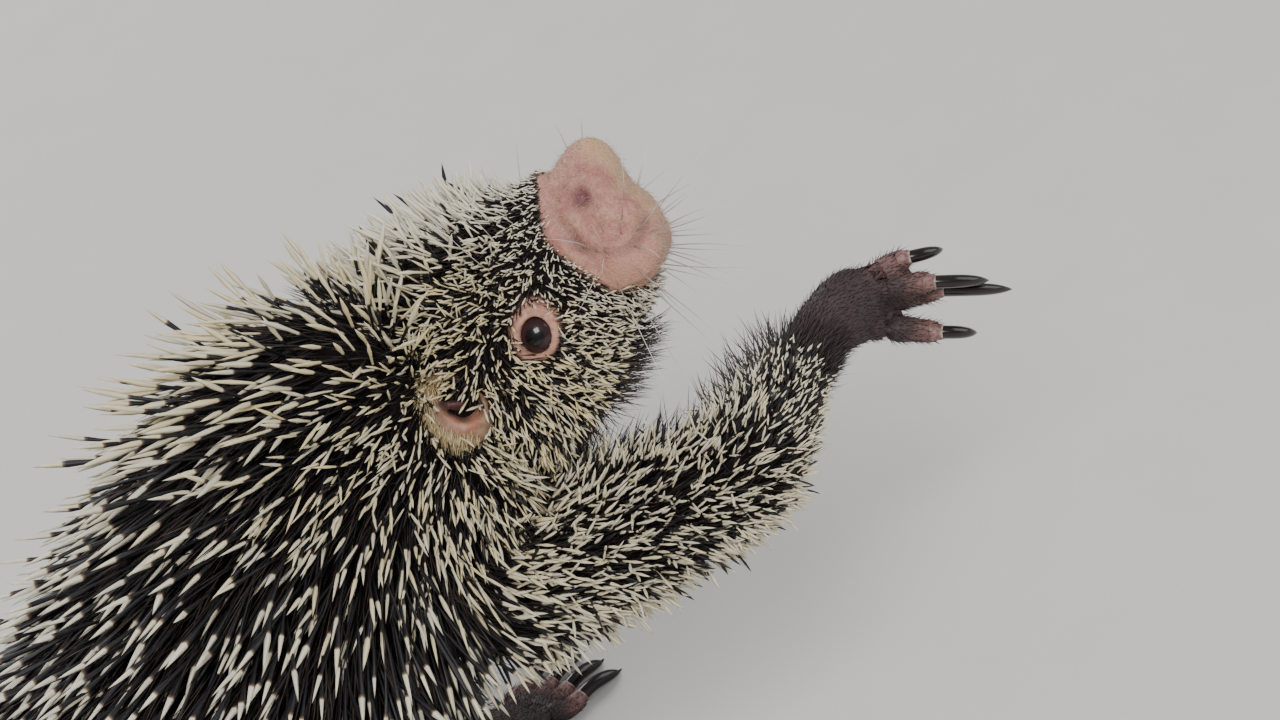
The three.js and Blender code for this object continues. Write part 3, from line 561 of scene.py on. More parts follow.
def edit_faces(piece, picked, operator, **settings):
    """Selects the picked faces and runs one edit mode operator on them."""
    choose(piece)
    bpy.ops.object.mode_set(mode="EDIT")
    bpy.ops.mesh.select_mode(type="FACE")
    bpy.ops.mesh.select_all(action="DESELECT")
    bpy.ops.object.mode_set(mode="OBJECT")
    piece.data.polygons.foreach_set("select", picked)
    bpy.ops.object.mode_set(mode="EDIT")
    operator(**settings)
    bpy.ops.object.mode_set(mode="OBJECT")


def in_paw(places):
    """True ahead of a paw's heel and near its palm or toes."""
    inside = np.zeros(len(places), bool)
    for name, spec in PAWS.items():
        along = (places - PAW_HEEL[name]) @ PAW_AHEAD[name]
        near = apart(places, PAW_HEEL[name]) < spec["size"]["palm"] + spec["size"]["toe"] + 2 * PAW_MARGIN
        inside |= near & (along > -PAW_KEPT)
    return inside


middles = face_middles(skin)
kept = apart(into_head(middles), HEAD_KEPT["at"]) < HEAD_KEPT["reach"]
kept |= in_paw(from_world(middles))
edit_faces(skin, ~kept, bpy.ops.mesh.decimate, ratio=HIDDEN_SHARE)
print("skin thinned under the coat:", len(skin.data.polygons), "faces")

# %% [markdown]
# ## Finer where it shows
#
# The muzzle, the lids and the toes have folds under two millimetres wide, finer than this grid. Their
# faces are selected by their place and subdivided, the eyes' twice.

# %% Subdivide the muzzle, the eyes and the toes
FACE_MIDDLE, FACE_REACH = (30, 0, 2), 33
EYE_REACH, LID_SIDE = 10.5, 5
TOE_REACH = 9.5

middles = into_head(face_middles(skin))
edit_faces(skin, apart(middles, FACE_MIDDLE) < FACE_REACH, bpy.ops.mesh.subdivide, number_cuts=1)
middles = into_head(face_middles(skin))
by_eye = np.zeros(len(middles), bool)
for side in SIDES.values():
    by_eye |= apart(middles, (0, side * (EYE_SIDE + LID_SIDE), 0)) < EYE_REACH
edit_faces(skin, by_eye, bpy.ops.mesh.subdivide, number_cuts=2)
middles = from_world(face_middles(skin))
by_claw = np.zeros(len(middles), bool)
for palm, toes, claws in paws.values():
    for claw in claws:
        by_claw |= apart(middles, claw.line[0]) < TOE_REACH
edit_faces(skin, by_claw, bpy.ops.mesh.subdivide, number_cuts=1)
print("skin with fine places:", len(skin.data.polygons), "faces")

# %% [markdown]
# ## Distance fields
#
# A field gives each point its distance from a form, negative inside. Added up through exponentials, the
# fields of several forms melt together with soft seams, as flesh does, and vertices that walk down the
# field's slope come to lie on the united surface. The muzzle and the paws are sculpted this way.

# %% Fields, and vertices moved on to them
SLOPE_STEP = 0.05
FIELD_REACH = 30
LONGEST_MOVE, LEAST_SLOPE = 3, 0.2


def melted(parts, melt):
    return -melt * np.log(np.exp(-np.clip(np.stack(parts), -FIELD_REACH, FIELD_REACH) / melt).sum(axis=0))


def oval_distance(away, radii):
    """Nearly the distance to an oval or rounded form, from the way to its middle."""
    q = away / radii
    k = norm(q, axis=1)
    return k * (k - 1) / np.maximum(norm(q / radii, axis=1), 1e-6)


def ball_distance(p, form):
    return oval_distance(p - np.array(form["at"]), np.array(form["radii"]))


def slope_of(field, p):
    steps = np.eye(3) * SLOPE_STEP
    return np.stack([field(p + s) - field(p - s) for s in steps], axis=1) / (2 * SLOPE_STEP)


def settle(p, field, rounds=6):
    """Moves points down the field's slope until they lie on its surface."""
    for _ in range(rounds):
        g = slope_of(field, p)
        move = np.clip(field(p), -LONGEST_MOVE, LONGEST_MOVE)
        p = p - move[:, None] * g / np.maximum((g * g).sum(axis=1), LEAST_SLOPE)[:, None]
    return p


def groove(distance, wide):
    """1 at no distance, falling away like a bell."""
    return np.exp(-(distance / wide) ** 2)


def leaning(x, y, degrees):
    """The same place in axes that lean by some degrees."""
    lean = math.radians(degrees)
    return x * math.cos(lean) + y * math.sin(lean), -x * math.sin(lean) + y * math.cos(lean)


def one_sided(p):
    """The points with the right half of the head laid on the left."""
    return p * np.array([1, 0, 1]) + np.abs(p) * np.array([0, 1, 0])


# %% [markdown]
# ## Sculpting the paws
#
# A climbing porcupine has fleshy palms and thick fingers with knuckles, and each finger is free of its
# neighbour almost to the knuckle. The remesh left webs between them and shrank them. So the vertices of
# each paw settle on the melted field of its palm, toes and wrist, and the knuckles swell a little.

# %% Sculpt the paws
PAW_MELT = 0.55
PAW_FADE = (2, 9)
PAW_SPAN, HEEL_APART = 95, 12
KNUCKLES = ((0.36, 0.5), (0.6, -0.35), (0.84, 0.25))
KNUCKLE_WIDE = 0.1


def sculpt_paw(p, name):
    palm, toes, _ = paws[name]
    heel = PAW_HEEL[name]
    arm = next(body for body in LOWERS if np.allclose(body.line[-1][:2], heel[:2], atol=HEEL_APART))
    bodies = [arm, palm, *toes]
    share = smooth((p - heel) @ PAW_AHEAD[name], *PAW_FADE)
    near = (share > 0) & (apart(p, heel) < PAW_SPAN)

    def field(q):
        return melted([body.locate(q)[2] for body in bodies], PAW_MELT)

    formed = settle(p[near], field, rounds=4)
    out = unit(slope_of(field, formed))
    swell = np.zeros(len(formed))
    for toe in toes:
        t, angle, outside = toe.locate(formed)
        on = (1 - smooth(outside, 0.2, 1.5)) * smooth(np.sin(angle), -0.3, 0.6)
        swell += on * sum(push * groove(t - at, KNUCKLE_WIDE) for at, push in KNUCKLES)
    formed = formed + out * swell[:, None]
    p[near] += (formed - p[near]) * share[near][:, None]
    return near.sum()


places = from_world(points_of(skin))
for name in PAWS:
    print(name, "sculpted:", sculpt_paw(places, name), "vertices")
set_points(skin, to_world(places))

# %% [markdown]
# ## Sculpting the muzzle
#
# The nose of this animal is a big soft bulb, set off from the face by a ring-shaped crease, above one
# swollen band of lip that carries the whiskers, a short mouth and a small chin. Each is a rounded form
# here, melted with the others. Creases, nostrils and the mouth are then pressed in along the surface.

# %% The forms of the muzzle, in the head's axes
NOSE_BULB = {"at": (37, 0, 9), "radii": (12, 18, 16.3)}
LIP_PADS = [{"at": (30.3, side * 10, -5.8), "radii": (10.2, 8.8, 8.7)} for side in SIDES.values()]
LIP = {"at": (31, 0, -5), "radii": (9.5, 10, 7)}
CHIN = {"at": (17, 0, -9.5), "radii": (10, 11.5, 9.6)}
CHEEK_END = 30
MUZZLE_MELT = 2.0


def skull_distance(p):
    """Distance from the head's ovals, which end behind the nose."""
    row = np.array(HEAD_ROW, float)
    z, wide, high = (np.interp(p[:, 0], row[:, 0], row[:, k]) for k in (1, 2, 3))
    side = oval_distance(np.stack([p[:, 1], p[:, 2] - z], axis=1), np.stack([wide, high], axis=1))
    return np.maximum(side, p[:, 0] - CHEEK_END)


def muzzle_distance(p):
    forms = [NOSE_BULB, LIP, CHIN, *LIP_PADS]
    return melted([skull_distance(p), *(ball_distance(p, form) for form in forms)], MUZZLE_MELT)


# %% Creases, nostrils, mouth, and the lobes of the nose tip
CREASE = {"x": 37, "z": 8.2, "rx": 10.6, "rz": 13.4, "deep": 1.35, "wide": 1.6}
CREASE_SIDE, CREASE_FRONT, CREASE_LOW, CREASE_TOP = (6, 10), (39, 46), (0, 7), (17, 22)
NOSTRIL = {"at": (36.4, 15.4, 14.4), "radius": 4.4, "deep": 1.7}
NOSTRIL_SLIT = {"at": (36, 15.6, 14.6), "long": 3.0, "wide": 2.2, "lean": 20, "bend": 0.12, "deep": 1.0}
NOSTRIL_SIDE = (8, 12)
NOSE_TIP = {"at": (45.5, 0, 22), "reach": 8.5, "push": 3.6, "across": 1}
NOSE_BRIDGE = {"at": (25, 0, 27), "reach": 7.5, "push": 2.2, "across": 1}
NOSE_NOTCH = {"at": (48, 0, 7), "reach": 8.5, "push": -4.4, "across": 0.35}
MOUTH = [(40.5, 0, -12.5), (37, 8, -14.6), (31, 12.2, -15), (23.5, 14.6, -11.8)]
MOUTH_DEPTH, MOUTH_WIDTH = 2.2, 0.9
LIP_SPLIT = {"deep": 1.2, "wide": 0.8, "ahead": (34, 37), "below": (0, 4), "above": (-14, -11)}
BARE_EDGE = ((-24, 36), (-18, 30), (-13, 24.6), (-8, 20.4), (1, 20.3), (15, 20.9), (26, 28.3), (32, 31))
FURROW = {"deep": 0.55, "at": 0.4, "wide": 0.7, "ridge": 2.2, "ridge_wide": 1.3}


def line_distance(p, knots):
    """Distance to a smooth line through the knots, with left and right alike."""
    line = through(np.array(knots, float), np.linspace(0, 1, 60))
    folded = one_sided(p)
    return np.sqrt(((folded[:, None, :] - line[None, :, :]) ** 2).sum(axis=2)).min(axis=1)


def past_bare_edge(p):
    """How far ahead of the edge of the bare skin a point lies."""
    heights, edges = zip(*BARE_EDGE)
    return p[:, 0] - np.interp(p[:, 2], heights, edges)


def crease_share(p):
    """1 in the ring-shaped crease round the side of the bulb, weak at its front and top."""
    x, y, z = p.T
    oval = np.sqrt(((x - CREASE["x"]) / CREASE["rx"])**2 + ((z - CREASE["z"]) / CREASE["rz"])**2)
    front = smooth(x, *CREASE_FRONT) * smooth(z, *CREASE_LOW)
    top = smooth(z, *CREASE_TOP)
    uneven = 0.72 + 0.28 * np.sin(np.arctan2(z - CREASE["z"], x - CREASE["x"]) * 4 + 1.2)
    wander = 0.6 * np.sin(z * 0.45) * np.sign(y)
    ring = groove((oval - 1) * 12 + wander, CREASE["wide"]) * uneven
    return ring * (1 - 0.75 * np.maximum(front, top)) * smooth(np.abs(y), *CREASE_SIDE)


def nostril_shares(p):
    """The soft dent and the slit in it."""
    folded = one_sided(p)
    dent = groove(apart(folded, NOSTRIL["at"]), NOSTRIL["radius"])
    x, _, z = (folded - np.array(NOSTRIL_SLIT["at"])).T
    along, across = leaning(x, z, NOSTRIL_SLIT["lean"])
    bent = across - NOSTRIL_SLIT["bend"] * along**2
    slit = groove(along, NOSTRIL_SLIT["long"]) * groove(bent, NOSTRIL_SLIT["wide"])
    return dent, slit * smooth(folded[:, 1], *NOSTRIL_SIDE)


def muzzle_relief(p):
    """How far the skin is pushed out at each place of the muzzle, in millimetres."""
    x, y, z = p.T
    dent, slit = nostril_shares(p)
    push = -CREASE["deep"] * crease_share(p) - NOSTRIL["deep"] * dent - NOSTRIL_SLIT["deep"] * slit
    for lobe in (NOSE_TIP, NOSE_NOTCH, NOSE_BRIDGE):
        away = (p - np.array(lobe["at"])) * np.array([1, lobe["across"], 1])
        push += lobe["push"] * groove(norm(away, axis=1), lobe["reach"])
    push -= MOUTH_DEPTH * groove(line_distance(p, MOUTH), MOUTH_WIDTH)
    split = groove(y, LIP_SPLIT["wide"]) * smooth(x, *LIP_SPLIT["ahead"]) * smooth(-z, *LIP_SPLIT["below"])
    push -= LIP_SPLIT["deep"] * split * smooth(z, *LIP_SPLIT["above"])
    ahead = past_bare_edge(p)
    side = smooth(z, -12, -9) * (1 - smooth(z, 14, 20))
    ridge = groove(ahead - FURROW["ridge"], FURROW["ridge_wide"])
    return push + FURROW["deep"] * side * (ridge - groove(ahead - FURROW["at"], FURROW["wide"]))


# %% Sculpt the muzzle
MUZZLE_START, MUZZLE_SHELL = (7, 17), 12


def sculpt_muzzle(piece):
    p = into_head(points_of(piece))
    away = apart(p, FACE_MIDDLE)
    share = smooth(p[:, 0], *MUZZLE_START) * (1 - smooth(away, FACE_REACH - 4, FACE_REACH + 1))
    near = (share > 0) & (np.abs(muzzle_distance(p)) < MUZZLE_SHELL)
    rough = p[near]
    formed = settle(rough, muzzle_distance)
    out = unit(slope_of(muzzle_distance, formed))
    formed = formed + out * muzzle_relief(formed)[:, None]
    p[near] = rough + (formed - rough) * share[near][:, None]
    set_points(piece, to_world(head_point(p)))
    return near.sum()


print("vertices of the muzzle:", sculpt_muzzle(skin))

# %% [markdown]
# ## Lids
#
# The eye looks out of an oval opening with soft thick lids. Inside the opening the skin dives behind the
# eyeball, at its edge it turns over the ball in a rounded rim, and outside it falls back to the face.
# The opening leans: its long axis rises towards the nose.

# %% Shape the lids
EYE_RADIUS = 6.3
OPENING = {"long": 5.3, "short": 4.3, "lean": 41}
EYE_HALF = 12
LID = {"rim": 0.5, "high": 0.9, "crest": 1.22, "wide": 0.32, "end": 1.6, "edge": (0.93, 1.07), "reach": 2.6}
LID_FOLD = {"at": 1.75, "wide": 0.14, "deep": 0.45}
BEHIND_BALL = 1.6


def eye_place(p):
    """Across the opening in units of its size, and the distance from its middle line."""
    along, across = leaning(p[:, 0], p[:, 2], OPENING["lean"])
    oval = np.sqrt((along / OPENING["long"])**2 + (across / OPENING["short"])**2)
    return oval, np.hypot(p[:, 0], p[:, 2])


def shape_lids(piece):
    p = into_head(points_of(piece))
    for side in SIDES.values():
        oval, away = eye_place(p)
        near = (side * p[:, 1] > EYE_HALF) & (oval < LID["reach"])
        e, d = oval[near], away[near]
        height = side * p[near, 1]
        ball = EYE_SIDE + np.sqrt(np.maximum(EYE_RADIUS**2 - d**2, 0))
        edge = EYE_SIDE + math.sqrt(EYE_RADIUS**2 - OPENING["short"] * OPENING["long"]) + LID["rim"]
        swollen = height + LID["high"] * groove(e - LID["crest"], LID["wide"])
        outside = np.maximum(swollen, np.where(e < LID["end"], edge, -np.inf))
        outside -= LID_FOLD["deep"] * groove(e - LID_FOLD["at"], LID_FOLD["wide"])
        inside = ball - BEHIND_BALL
        new = inside + (outside - inside) * smooth(e, *LID["edge"])
        p[near, 1] = side * new
    set_points(piece, to_world(head_point(p)))


shape_lids(skin)
print("lids shaped; opening", 2 * OPENING["long"], "by", 2 * OPENING["short"], "mm")

# %% Press the soles flat, and say which nodes the skin stands for
points = points_of(skin)
points[:, 2] = np.maximum(points[:, 2], 0)
set_points(skin, points)
shade_smooth(skin)
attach(skin, "root")
flesh = ["head", "muzzle", "torso_rear", "torso_front", "neck", "tail_1", "tail_2", "tail_3", "tail_4"]
flesh += [body.name for body in UPPERS + LOWERS] + list(PAWS)
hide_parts(*flesh)
print("skin replaces", len(flesh), "nodes")

# %% [markdown]
# ## Reading the skin
#
# Quills and fur must know where they stand: on which body, how far along it and round it, and which way
# the coat lies there. Near a shoulder two bodies share a place, so each body gets a weight that fades
# with its distance, and directions and lengths are blended by these weights. Nothing jumps at a joint.

# %% A surface that things can grow on
PAW_BODIES = [body for palm, toes, claws in paws.values() for body in [palm, *toes]]
BODIES = [trunk, skull, tail, *UPPERS, *LOWERS, *PAW_BODIES]
INDEX = {body.name: i for i, body in enumerate(BODIES)}
LANES = 6
LANE_ROWS = 6
WEIGHT_REACH = 5.0


def unrolled(angle, along, lane):
    """A place on the unrolled skin: round it in u, along it in v, each body in a lane of its own."""
    u = (np.asarray(angle) / math.tau + 0.5 + lane % LANES) / LANES
    v = (np.asarray(along) + lane // LANES) / LANE_ROWS
    return np.stack([u, v], axis=1)


class Surface:
    """The vertices, normals and triangles of a piece, in the animal's own axes."""

    def __init__(self, piece):
        mesh = piece.data
        self.points = from_world(points_of(piece))
        normals = np.empty(len(mesh.vertices) * 3)
        mesh.vertex_normals.foreach_get("vector", normals)
        self.normals = normals.reshape(-1, 3)
        mesh.calc_loop_triangles()
        corners = np.empty(len(mesh.loop_triangles) * 3, int)
        mesh.loop_triangles.foreach_get("vertices", corners)
        self.triangles = corners.reshape(-1, 3)

    def set_sweep(self, way):
        """The way the coat lies, laid along the surface."""
        self.sweep = unit(way - self.normals * (way * self.normals).sum(axis=1)[:, None])


# %% The skin as such a surface, with the weight of each body at each vertex
class Reading(Surface):
    """What each vertex of the skin knows about its place."""

    def __init__(self, piece):
        super().__init__(piece)
        located = [body.locate(self.points) for body in BODIES]
        self.t = np.stack([item[0] for item in located])
        self.angle = np.stack([item[1] for item in located])
        outside = np.stack([item[2] for item in located])
        near = outside - outside.min(axis=0)
        weight = np.exp(-(near / WEIGHT_REACH) ** 2)
        self.weight = weight / weight.sum(axis=0)
        self.owner = self.weight.argmax(axis=0)
        each = np.arange(len(self.points))
        self.uv = unrolled(self.angle[self.owner, each], self.t[self.owner, each], self.owner)

    def blended(self, rule):
        """The weighted mean of rule(body, t, angle), which gives one number or one direction each."""
        total = 0
        for i, body in enumerate(BODIES):
            value = rule(body, self.t[i], self.angle[i])
            weight = self.weight[i] if np.ndim(value) < 2 else self.weight[i][:, None]
            total = total + value * weight
        return total

    def from_table(self, table):
        """The weighted mean of what the table says for each body."""
        return self.blended(lambda body, t, angle: table_value(table, body, t, angle))

    def is_on(self, *names):
        return np.isin(self.owner, [INDEX[name] for name in names])


reading = Reading(skin)
head_place = (reading.points - HEAD_MIDDLE) @ HEAD_AXES
head_x, head_y, head_z = head_place.T
on_trunk, on_skull, on_tail = (reading.is_on(name) for name in ("trunk", "skull", "tail"))
on_paw = reading.is_on(*(body.name for body in PAW_BODIES))
bare = smooth(past_bare_edge(head_place), -0.8, 0.8) * on_skull
head_triangles = int(on_skull[reading.triangles[:, 0]].sum())
print("triangles of the skin:", len(reading.triangles), "of which on the head:", head_triangles)

# %% [markdown]
# ## Which way the coat lies
#
# On the trunk the quills sweep back, and low on the flanks they hang down as well. On the tail and limbs
# they sweep towards the tip. The head has a pattern of its own: the crown stands up, the brow sweeps
# back, and the cheeks sweep forward and down to the throat. The lean is measured from upright.

# %% Reading a value off a table
CREST = (0.72, 0.95)


def between(t, *pairs):
    """A value that runs straight through (place, value) pairs."""
    places, values = zip(*pairs)
    return np.interp(t, places, values)


def table_value(table, body, t, angle):
    """A table has an entry for each kind of body, and "other". An entry is a number, a row of (place,
    value) pairs along the body, or one row for the crest of the head and back and one for the flanks."""
    entry = table.get(body.kind, table["other"])
    if isinstance(entry, dict):
        top = smooth(np.sin(angle), *CREST)
        return between(t, *entry["crest"]) * top + between(t, *entry["flank"]) * (1 - top)
    return between(t, *entry) if isinstance(entry, tuple) else np.full(len(t), float(entry))


# %% The lie, length and lean of the coat
CHEEK_SWEEP = (0.52, -0.88)
LENGTH = {
    "trunk": {"crest": ((0, 34), (0.08, 42), (0.84, 42), (0.93, 34), (1, 30)),
              "flank": ((0, 34), (0.08, 42), (0.78, 40), (0.86, 28), (0.94, 18), (1, 14))},
    "skull": {"crest": ((0, 31), (0.15, 30), (0.3, 28), (0.45, 23), (0.58, 17), (0.65, 9), (0.72, 4.2)),
              "flank": ((0, 14), (0.15, 11.5), (0.3, 9), (0.45, 7), (0.58, 4.8), (0.66, 3.6), (0.8, 3))},
    "tail": ((0, 30), (0.12, 22), (0.3, 11), (0.4, 5), (1, 3)),
    "upper_arm": ((0, 20), (0.4, 15), (0.8, 13), (1, 12)),
    "forearm": ((0, 11.5), (0.3, 9), (0.6, 7), (1, 5.5)),
    "thigh": ((0, 36), (0.4, 28), (1, 18)),
    "shank": ((0, 12), (1, 6)),
    "other": 3.6,
}
CHIN_LONGER = 3
LEAN = {
    "trunk": ((0, 66), (0.8, 60), (0.92, 46), (1, 36)),
    "skull": {"crest": ((0, 28), (0.15, 10), (0.3, 0), (0.45, 4), (0.58, 16), (0.68, 45), (0.78, 66)),
              "flank": ((0, 36), (0.3, 26), (0.45, 28), (0.6, 42), (0.7, 56))},
    "upper_arm": ((0, 50), (0.7, 43), (1, 36)),
    "thigh": ((0, 50), (0.7, 43), (1, 36)),
    "other": ((0, 46), (0.3, 58), (1, 64)),
}
THROAT_LEAN = 46


def sweep_rule(body, t, angle):
    """The way the coat sweeps, before it is laid along the skin."""
    _, ahead, _, top, _ = body.frames(t)
    if body is trunk:
        low = 1 - smooth(np.sin(angle), -0.3, 0.6)
        return -ahead - top * (0.7 * low)[:, None]
    if body is skull:
        low = (1 - smooth(np.sin(angle), -0.25, 0.35))[:, None]
        front = smooth(t, 0.25, 0.42)[:, None]
        behind_ear = -ahead * 0.7 - top * 0.7
        cheek = ahead * CHEEK_SWEEP[0] + top * CHEEK_SWEEP[1]
        return -ahead * (1 - low) + low * (behind_ear * (1 - front) + cheek * front)
    return ahead


def length_rule(body, t, angle):
    length = table_value(LENGTH, body, t, angle)
    if body is skull:
        length = length + smooth(-np.sin(angle), 0.5, 0.8) * smooth(t, 0.5, 0.65) * CHIN_LONGER
    return length


def lean_rule(body, t, angle):
    lean = table_value(LEAN, body, t, angle)
    if body is skull:
        low = 1 - smooth(np.sin(angle), -0.6, 0)
        lean = lean + (THROAT_LEAN - lean) * low
    return lean


reading.set_sweep(reading.blended(sweep_rule))
reading.length = reading.blended(length_rule)
reading.lean = reading.blended(lean_rule)
print("quill lengths from", round(reading.length.min(), 1), "to", round(reading.length.max(), 1), "mm")


# %% Where quills grow, and how far apart
EAR_MIDDLE = np.array([-31, 33, 5])
EAR_CLEAR = (8.5, 10.5)
EYE_RING_SHIFT = np.array([1.3, 0, 1.2])
EYE_RING = (1.36, 1.62)
SPACING = {
    "trunk": {"crest": ((0, 3.6), (0.78, 3.3), (1, 2.6)),
              "flank": ((0, 3.6), (0.74, 3.1), (0.84, 2.1), (1, 1.3))},
    "skull": {"crest": ((0, 2.4), (0.3, 2.1), (0.55, 1.6), (0.65, 1.15), (0.7, 0.9)),
              "flank": ((0, 1.35), (0.3, 1.25), (0.45, 1.1), (0.58, 0.95), (0.66, 0.85))},
    "upper_arm": ((0, 1.7), (0.3, 1.4), (1, 1.3)),
    "thigh": 3.0,
    "forearm": ((0, 1.35), (1, 1.2)),
    "shank": ((0, 1.35), (1, 1.2)),
    "other": 3.6,
}


def inner_arm(body, angle):
    """1 on the side of an arm that faces the chest, where only soft fur grows."""
    inward = 1 if body.name.endswith("right") else -1
    return smooth(inward * np.cos(angle), 0.25, 0.7)


def quill_rule(body, t, angle):
    """1 where quills grow, 0 where there is only fur."""
    up = np.sin(angle)
    if body is trunk:
        return smooth(up, -0.66, -0.42)
    if body is skull:
        return smooth(up, -0.985, -0.9)
    if body is tail:
        return (1 - smooth(t, 0.24, 0.34)) * smooth(up, -0.35, -0.1)
    if body.kind == "upper_arm":
        return smooth(t, 0.0, 0.1) * (1 - inner_arm(body, angle))
    if body.kind == "thigh":
        return smooth(t, -0.05, 0.03)
    if body.kind == "forearm":
        return (1 - smooth(t, 0.4, 0.75)) * (1 - inner_arm(body, angle))
    return np.zeros(len(t))


def clear_of(middle, low, high):
    """0 within `low` of a place on either side of the head, 1 beyond `high`."""
    share = 1
    for side in SIDES.values():
        share = share * smooth(apart(head_place, middle * np.array([1, side, 1])), low, high)
    return share


def round_eye(low, high):
    """0 in the bare ring of either eye, 1 outside it."""
    oval = eye_place(head_place - EYE_RING_SHIFT)[0]
    return np.where(np.abs(head_y) > EYE_HALF, smooth(oval, low, high), 1)


reading.quilled = reading.blended(quill_rule) * (1 - smooth(bare, 0.55, 0.95)) * round_eye(*EYE_RING)
reading.quilled *= clear_of(EAR_MIDDLE, *EAR_CLEAR)
reading.spacing = reading.from_table(SPACING)
print("share of vertices with quills:", round(float((reading.quilled > 0.5).mean()), 2))

# %% [markdown]
# ## Scattering roots
#
# Quills stand evenly but never in rows. Many places are drawn at random over the skin, as many to each
# patch as its area and spacing ask for, and then each kept place strikes out the later ones that are
# too near to it. What is left is as even as nature makes it. The seed gives the same coat each time,
# apart from the short hair of the ears. A new ball comes with its faces in another order in each run,
# and the ears are such balls, so their draws fall on other faces.

# %% Scatter places on a surface
class Roots:
    """Places on a surface, with what the surface knows there."""

    warm = 0.0

    def __init__(self, surface, spacing, chosen, seed, crowd=5.0):
        self.rng = rng = np.random.default_rng(seed)
        tri = surface.triangles
        a, b, c = (surface.points[tri[:, k]] for k in range(3))
        area = norm(np.cross(b - a, c - a), axis=1) / 2
        wanted = area / spacing[tri].mean(axis=1)**2 * chosen[tri].mean(axis=1)
        count = rng.poisson(wanted.sum() * crowd)
        picked = rng.choice(len(tri), size=count, p=wanted / wanted.sum())
        share = rng.random((count, 2))
        flip = share.sum(axis=1) > 1
        share[flip] = 1 - share[flip]
        self.mix = np.column_stack([1 - share.sum(axis=1), share])
        self.corners = tri[picked]
        kept = self.thin(self.read(surface.points), self.read(spacing))
        self.corners, self.mix = self.corners[kept], self.mix[kept]
        self.at = self.read(surface.points)
        self.out = unit(self.read(surface.normals))
        self.sweep = unit(self.read(surface.sweep))
        near = self.corners[np.arange(len(self.corners)), self.mix.argmax(axis=1)]
        self.uv = surface.uv[near]

    def read(self, values):
        """The values at the roots, mixed from the three corners of their triangles."""
        value = values[self.corners]
        weight = self.mix if value.ndim == 2 else self.mix[:, :, None]
        return (value * weight).sum(axis=1)

    @staticmethod
    def thin(points, spacing):
        """True for each place that no earlier kept place is too near to."""
        tree = KDTree(len(points))
        for i, point in enumerate(points):
            tree.insert(point, i)
        tree.balance()
        alive = np.ones(len(points), bool)
        for i, point in enumerate(points):
            if alive[i]:
                for _, j, _ in tree.find_range(point, spacing[i]):
                    if j > i:
                        alive[j] = False
        return alive

    def __len__(self):
        return len(self.at)


# %% [markdown]
# ## One quill, one hair
#
# A quill is a long spindle: narrow at its root, of even thickness for most of its length, and then drawn
# out to a needle point. One is shaped from a ball of few faces, and every other is a copy of its
# vertices, set at its own root, turned its own way and bent a little. A hair is the same with three
# sides, the down is a bare cone, and a whisker is long and has many stations to curve through.

# %% Shape the masters
QUILL_STATIONS = ((0, 0.25), (0.3, 0.5), (0.64, 0.66), (0.77, 1), (0.9, 0.56), (1, 0))
HAIR_STATIONS = ((0, 0), (0.3, 1), (0.7, 0.7), (1, 0))
WHISKER_STATIONS = tuple((k / 11, (1 - k / 11) ** 0.7) for k in range(12))


def faces_of(piece):
    """The faces of a piece that is then put away."""
    faces = [list(face.vertices) for face in piece.data.polygons]
    bpy.data.objects.remove(piece)
    return faces


def master(segments, stations):
    """The share along, thickness and angle of each vertex of one spindle, and its faces."""
    bpy.ops.mesh.primitive_uv_sphere_add(segments=segments, ring_count=len(stations) - 1, radius=1)
    piece = bpy.context.object
    ball = points_of(piece)
    ring = ring_on_ball(ball, len(stations) - 1)
    form = np.array(stations)
    angle = np.where(np.abs(ball[:, 2]) > 0.999, 0, -np.arctan2(ball[:, 1], ball[:, 0]))
    return {"share": form[ring, 0], "girth": form[ring, 1], "angle": angle, "faces": faces_of(piece)}


def cone_master(segments):
    bpy.ops.mesh.primitive_cone_add(vertices=segments, radius1=1, radius2=0, depth=1, end_fill_type="NGON")
    piece = bpy.context.object
    cone = points_of(piece)
    share = cone[:, 2] + 0.5
    angle = np.where(share > 0.5, 0, np.arctan2(cone[:, 1], cone[:, 0]))
    return {"share": share, "girth": 1 - share, "angle": angle, "faces": faces_of(piece)}


QUILL = master(4, QUILL_STATIONS)
HAIR = master(3, HAIR_STATIONS)
WHISKER = master(5, WHISKER_STATIONS)
DOWN = cone_master(3)
print("faces of a quill, a hair and a cone:", len(QUILL["faces"]), len(HAIR["faces"]), len(DOWN["faces"]))

# %% [markdown]
# ## Growing a coat
#
# All copies are computed at once as arrays, which is quick enough for tens of thousands. Each vertex
# also keeps how far along its quill it is, how pale the quill is, a random number and how warm its cream
# is, so that one material can colour the dark shaft and the cream point. The map called OFBake gives
# each quill a tiny patch of its own, at the place of its root on the unrolled skin.

# %% Grow
PATCH = 0.003
FLOOR_GAP = 0.0001


def perpendicular(way):
    """Two directions across each way."""
    helper = np.where(np.abs(way[:, 2:3]) < 0.9, np.array([[0, 0, 1.0]]), np.array([[1.0, 0, 0]]))
    side = unit(np.cross(way, helper))
    return side, np.cross(way, side)


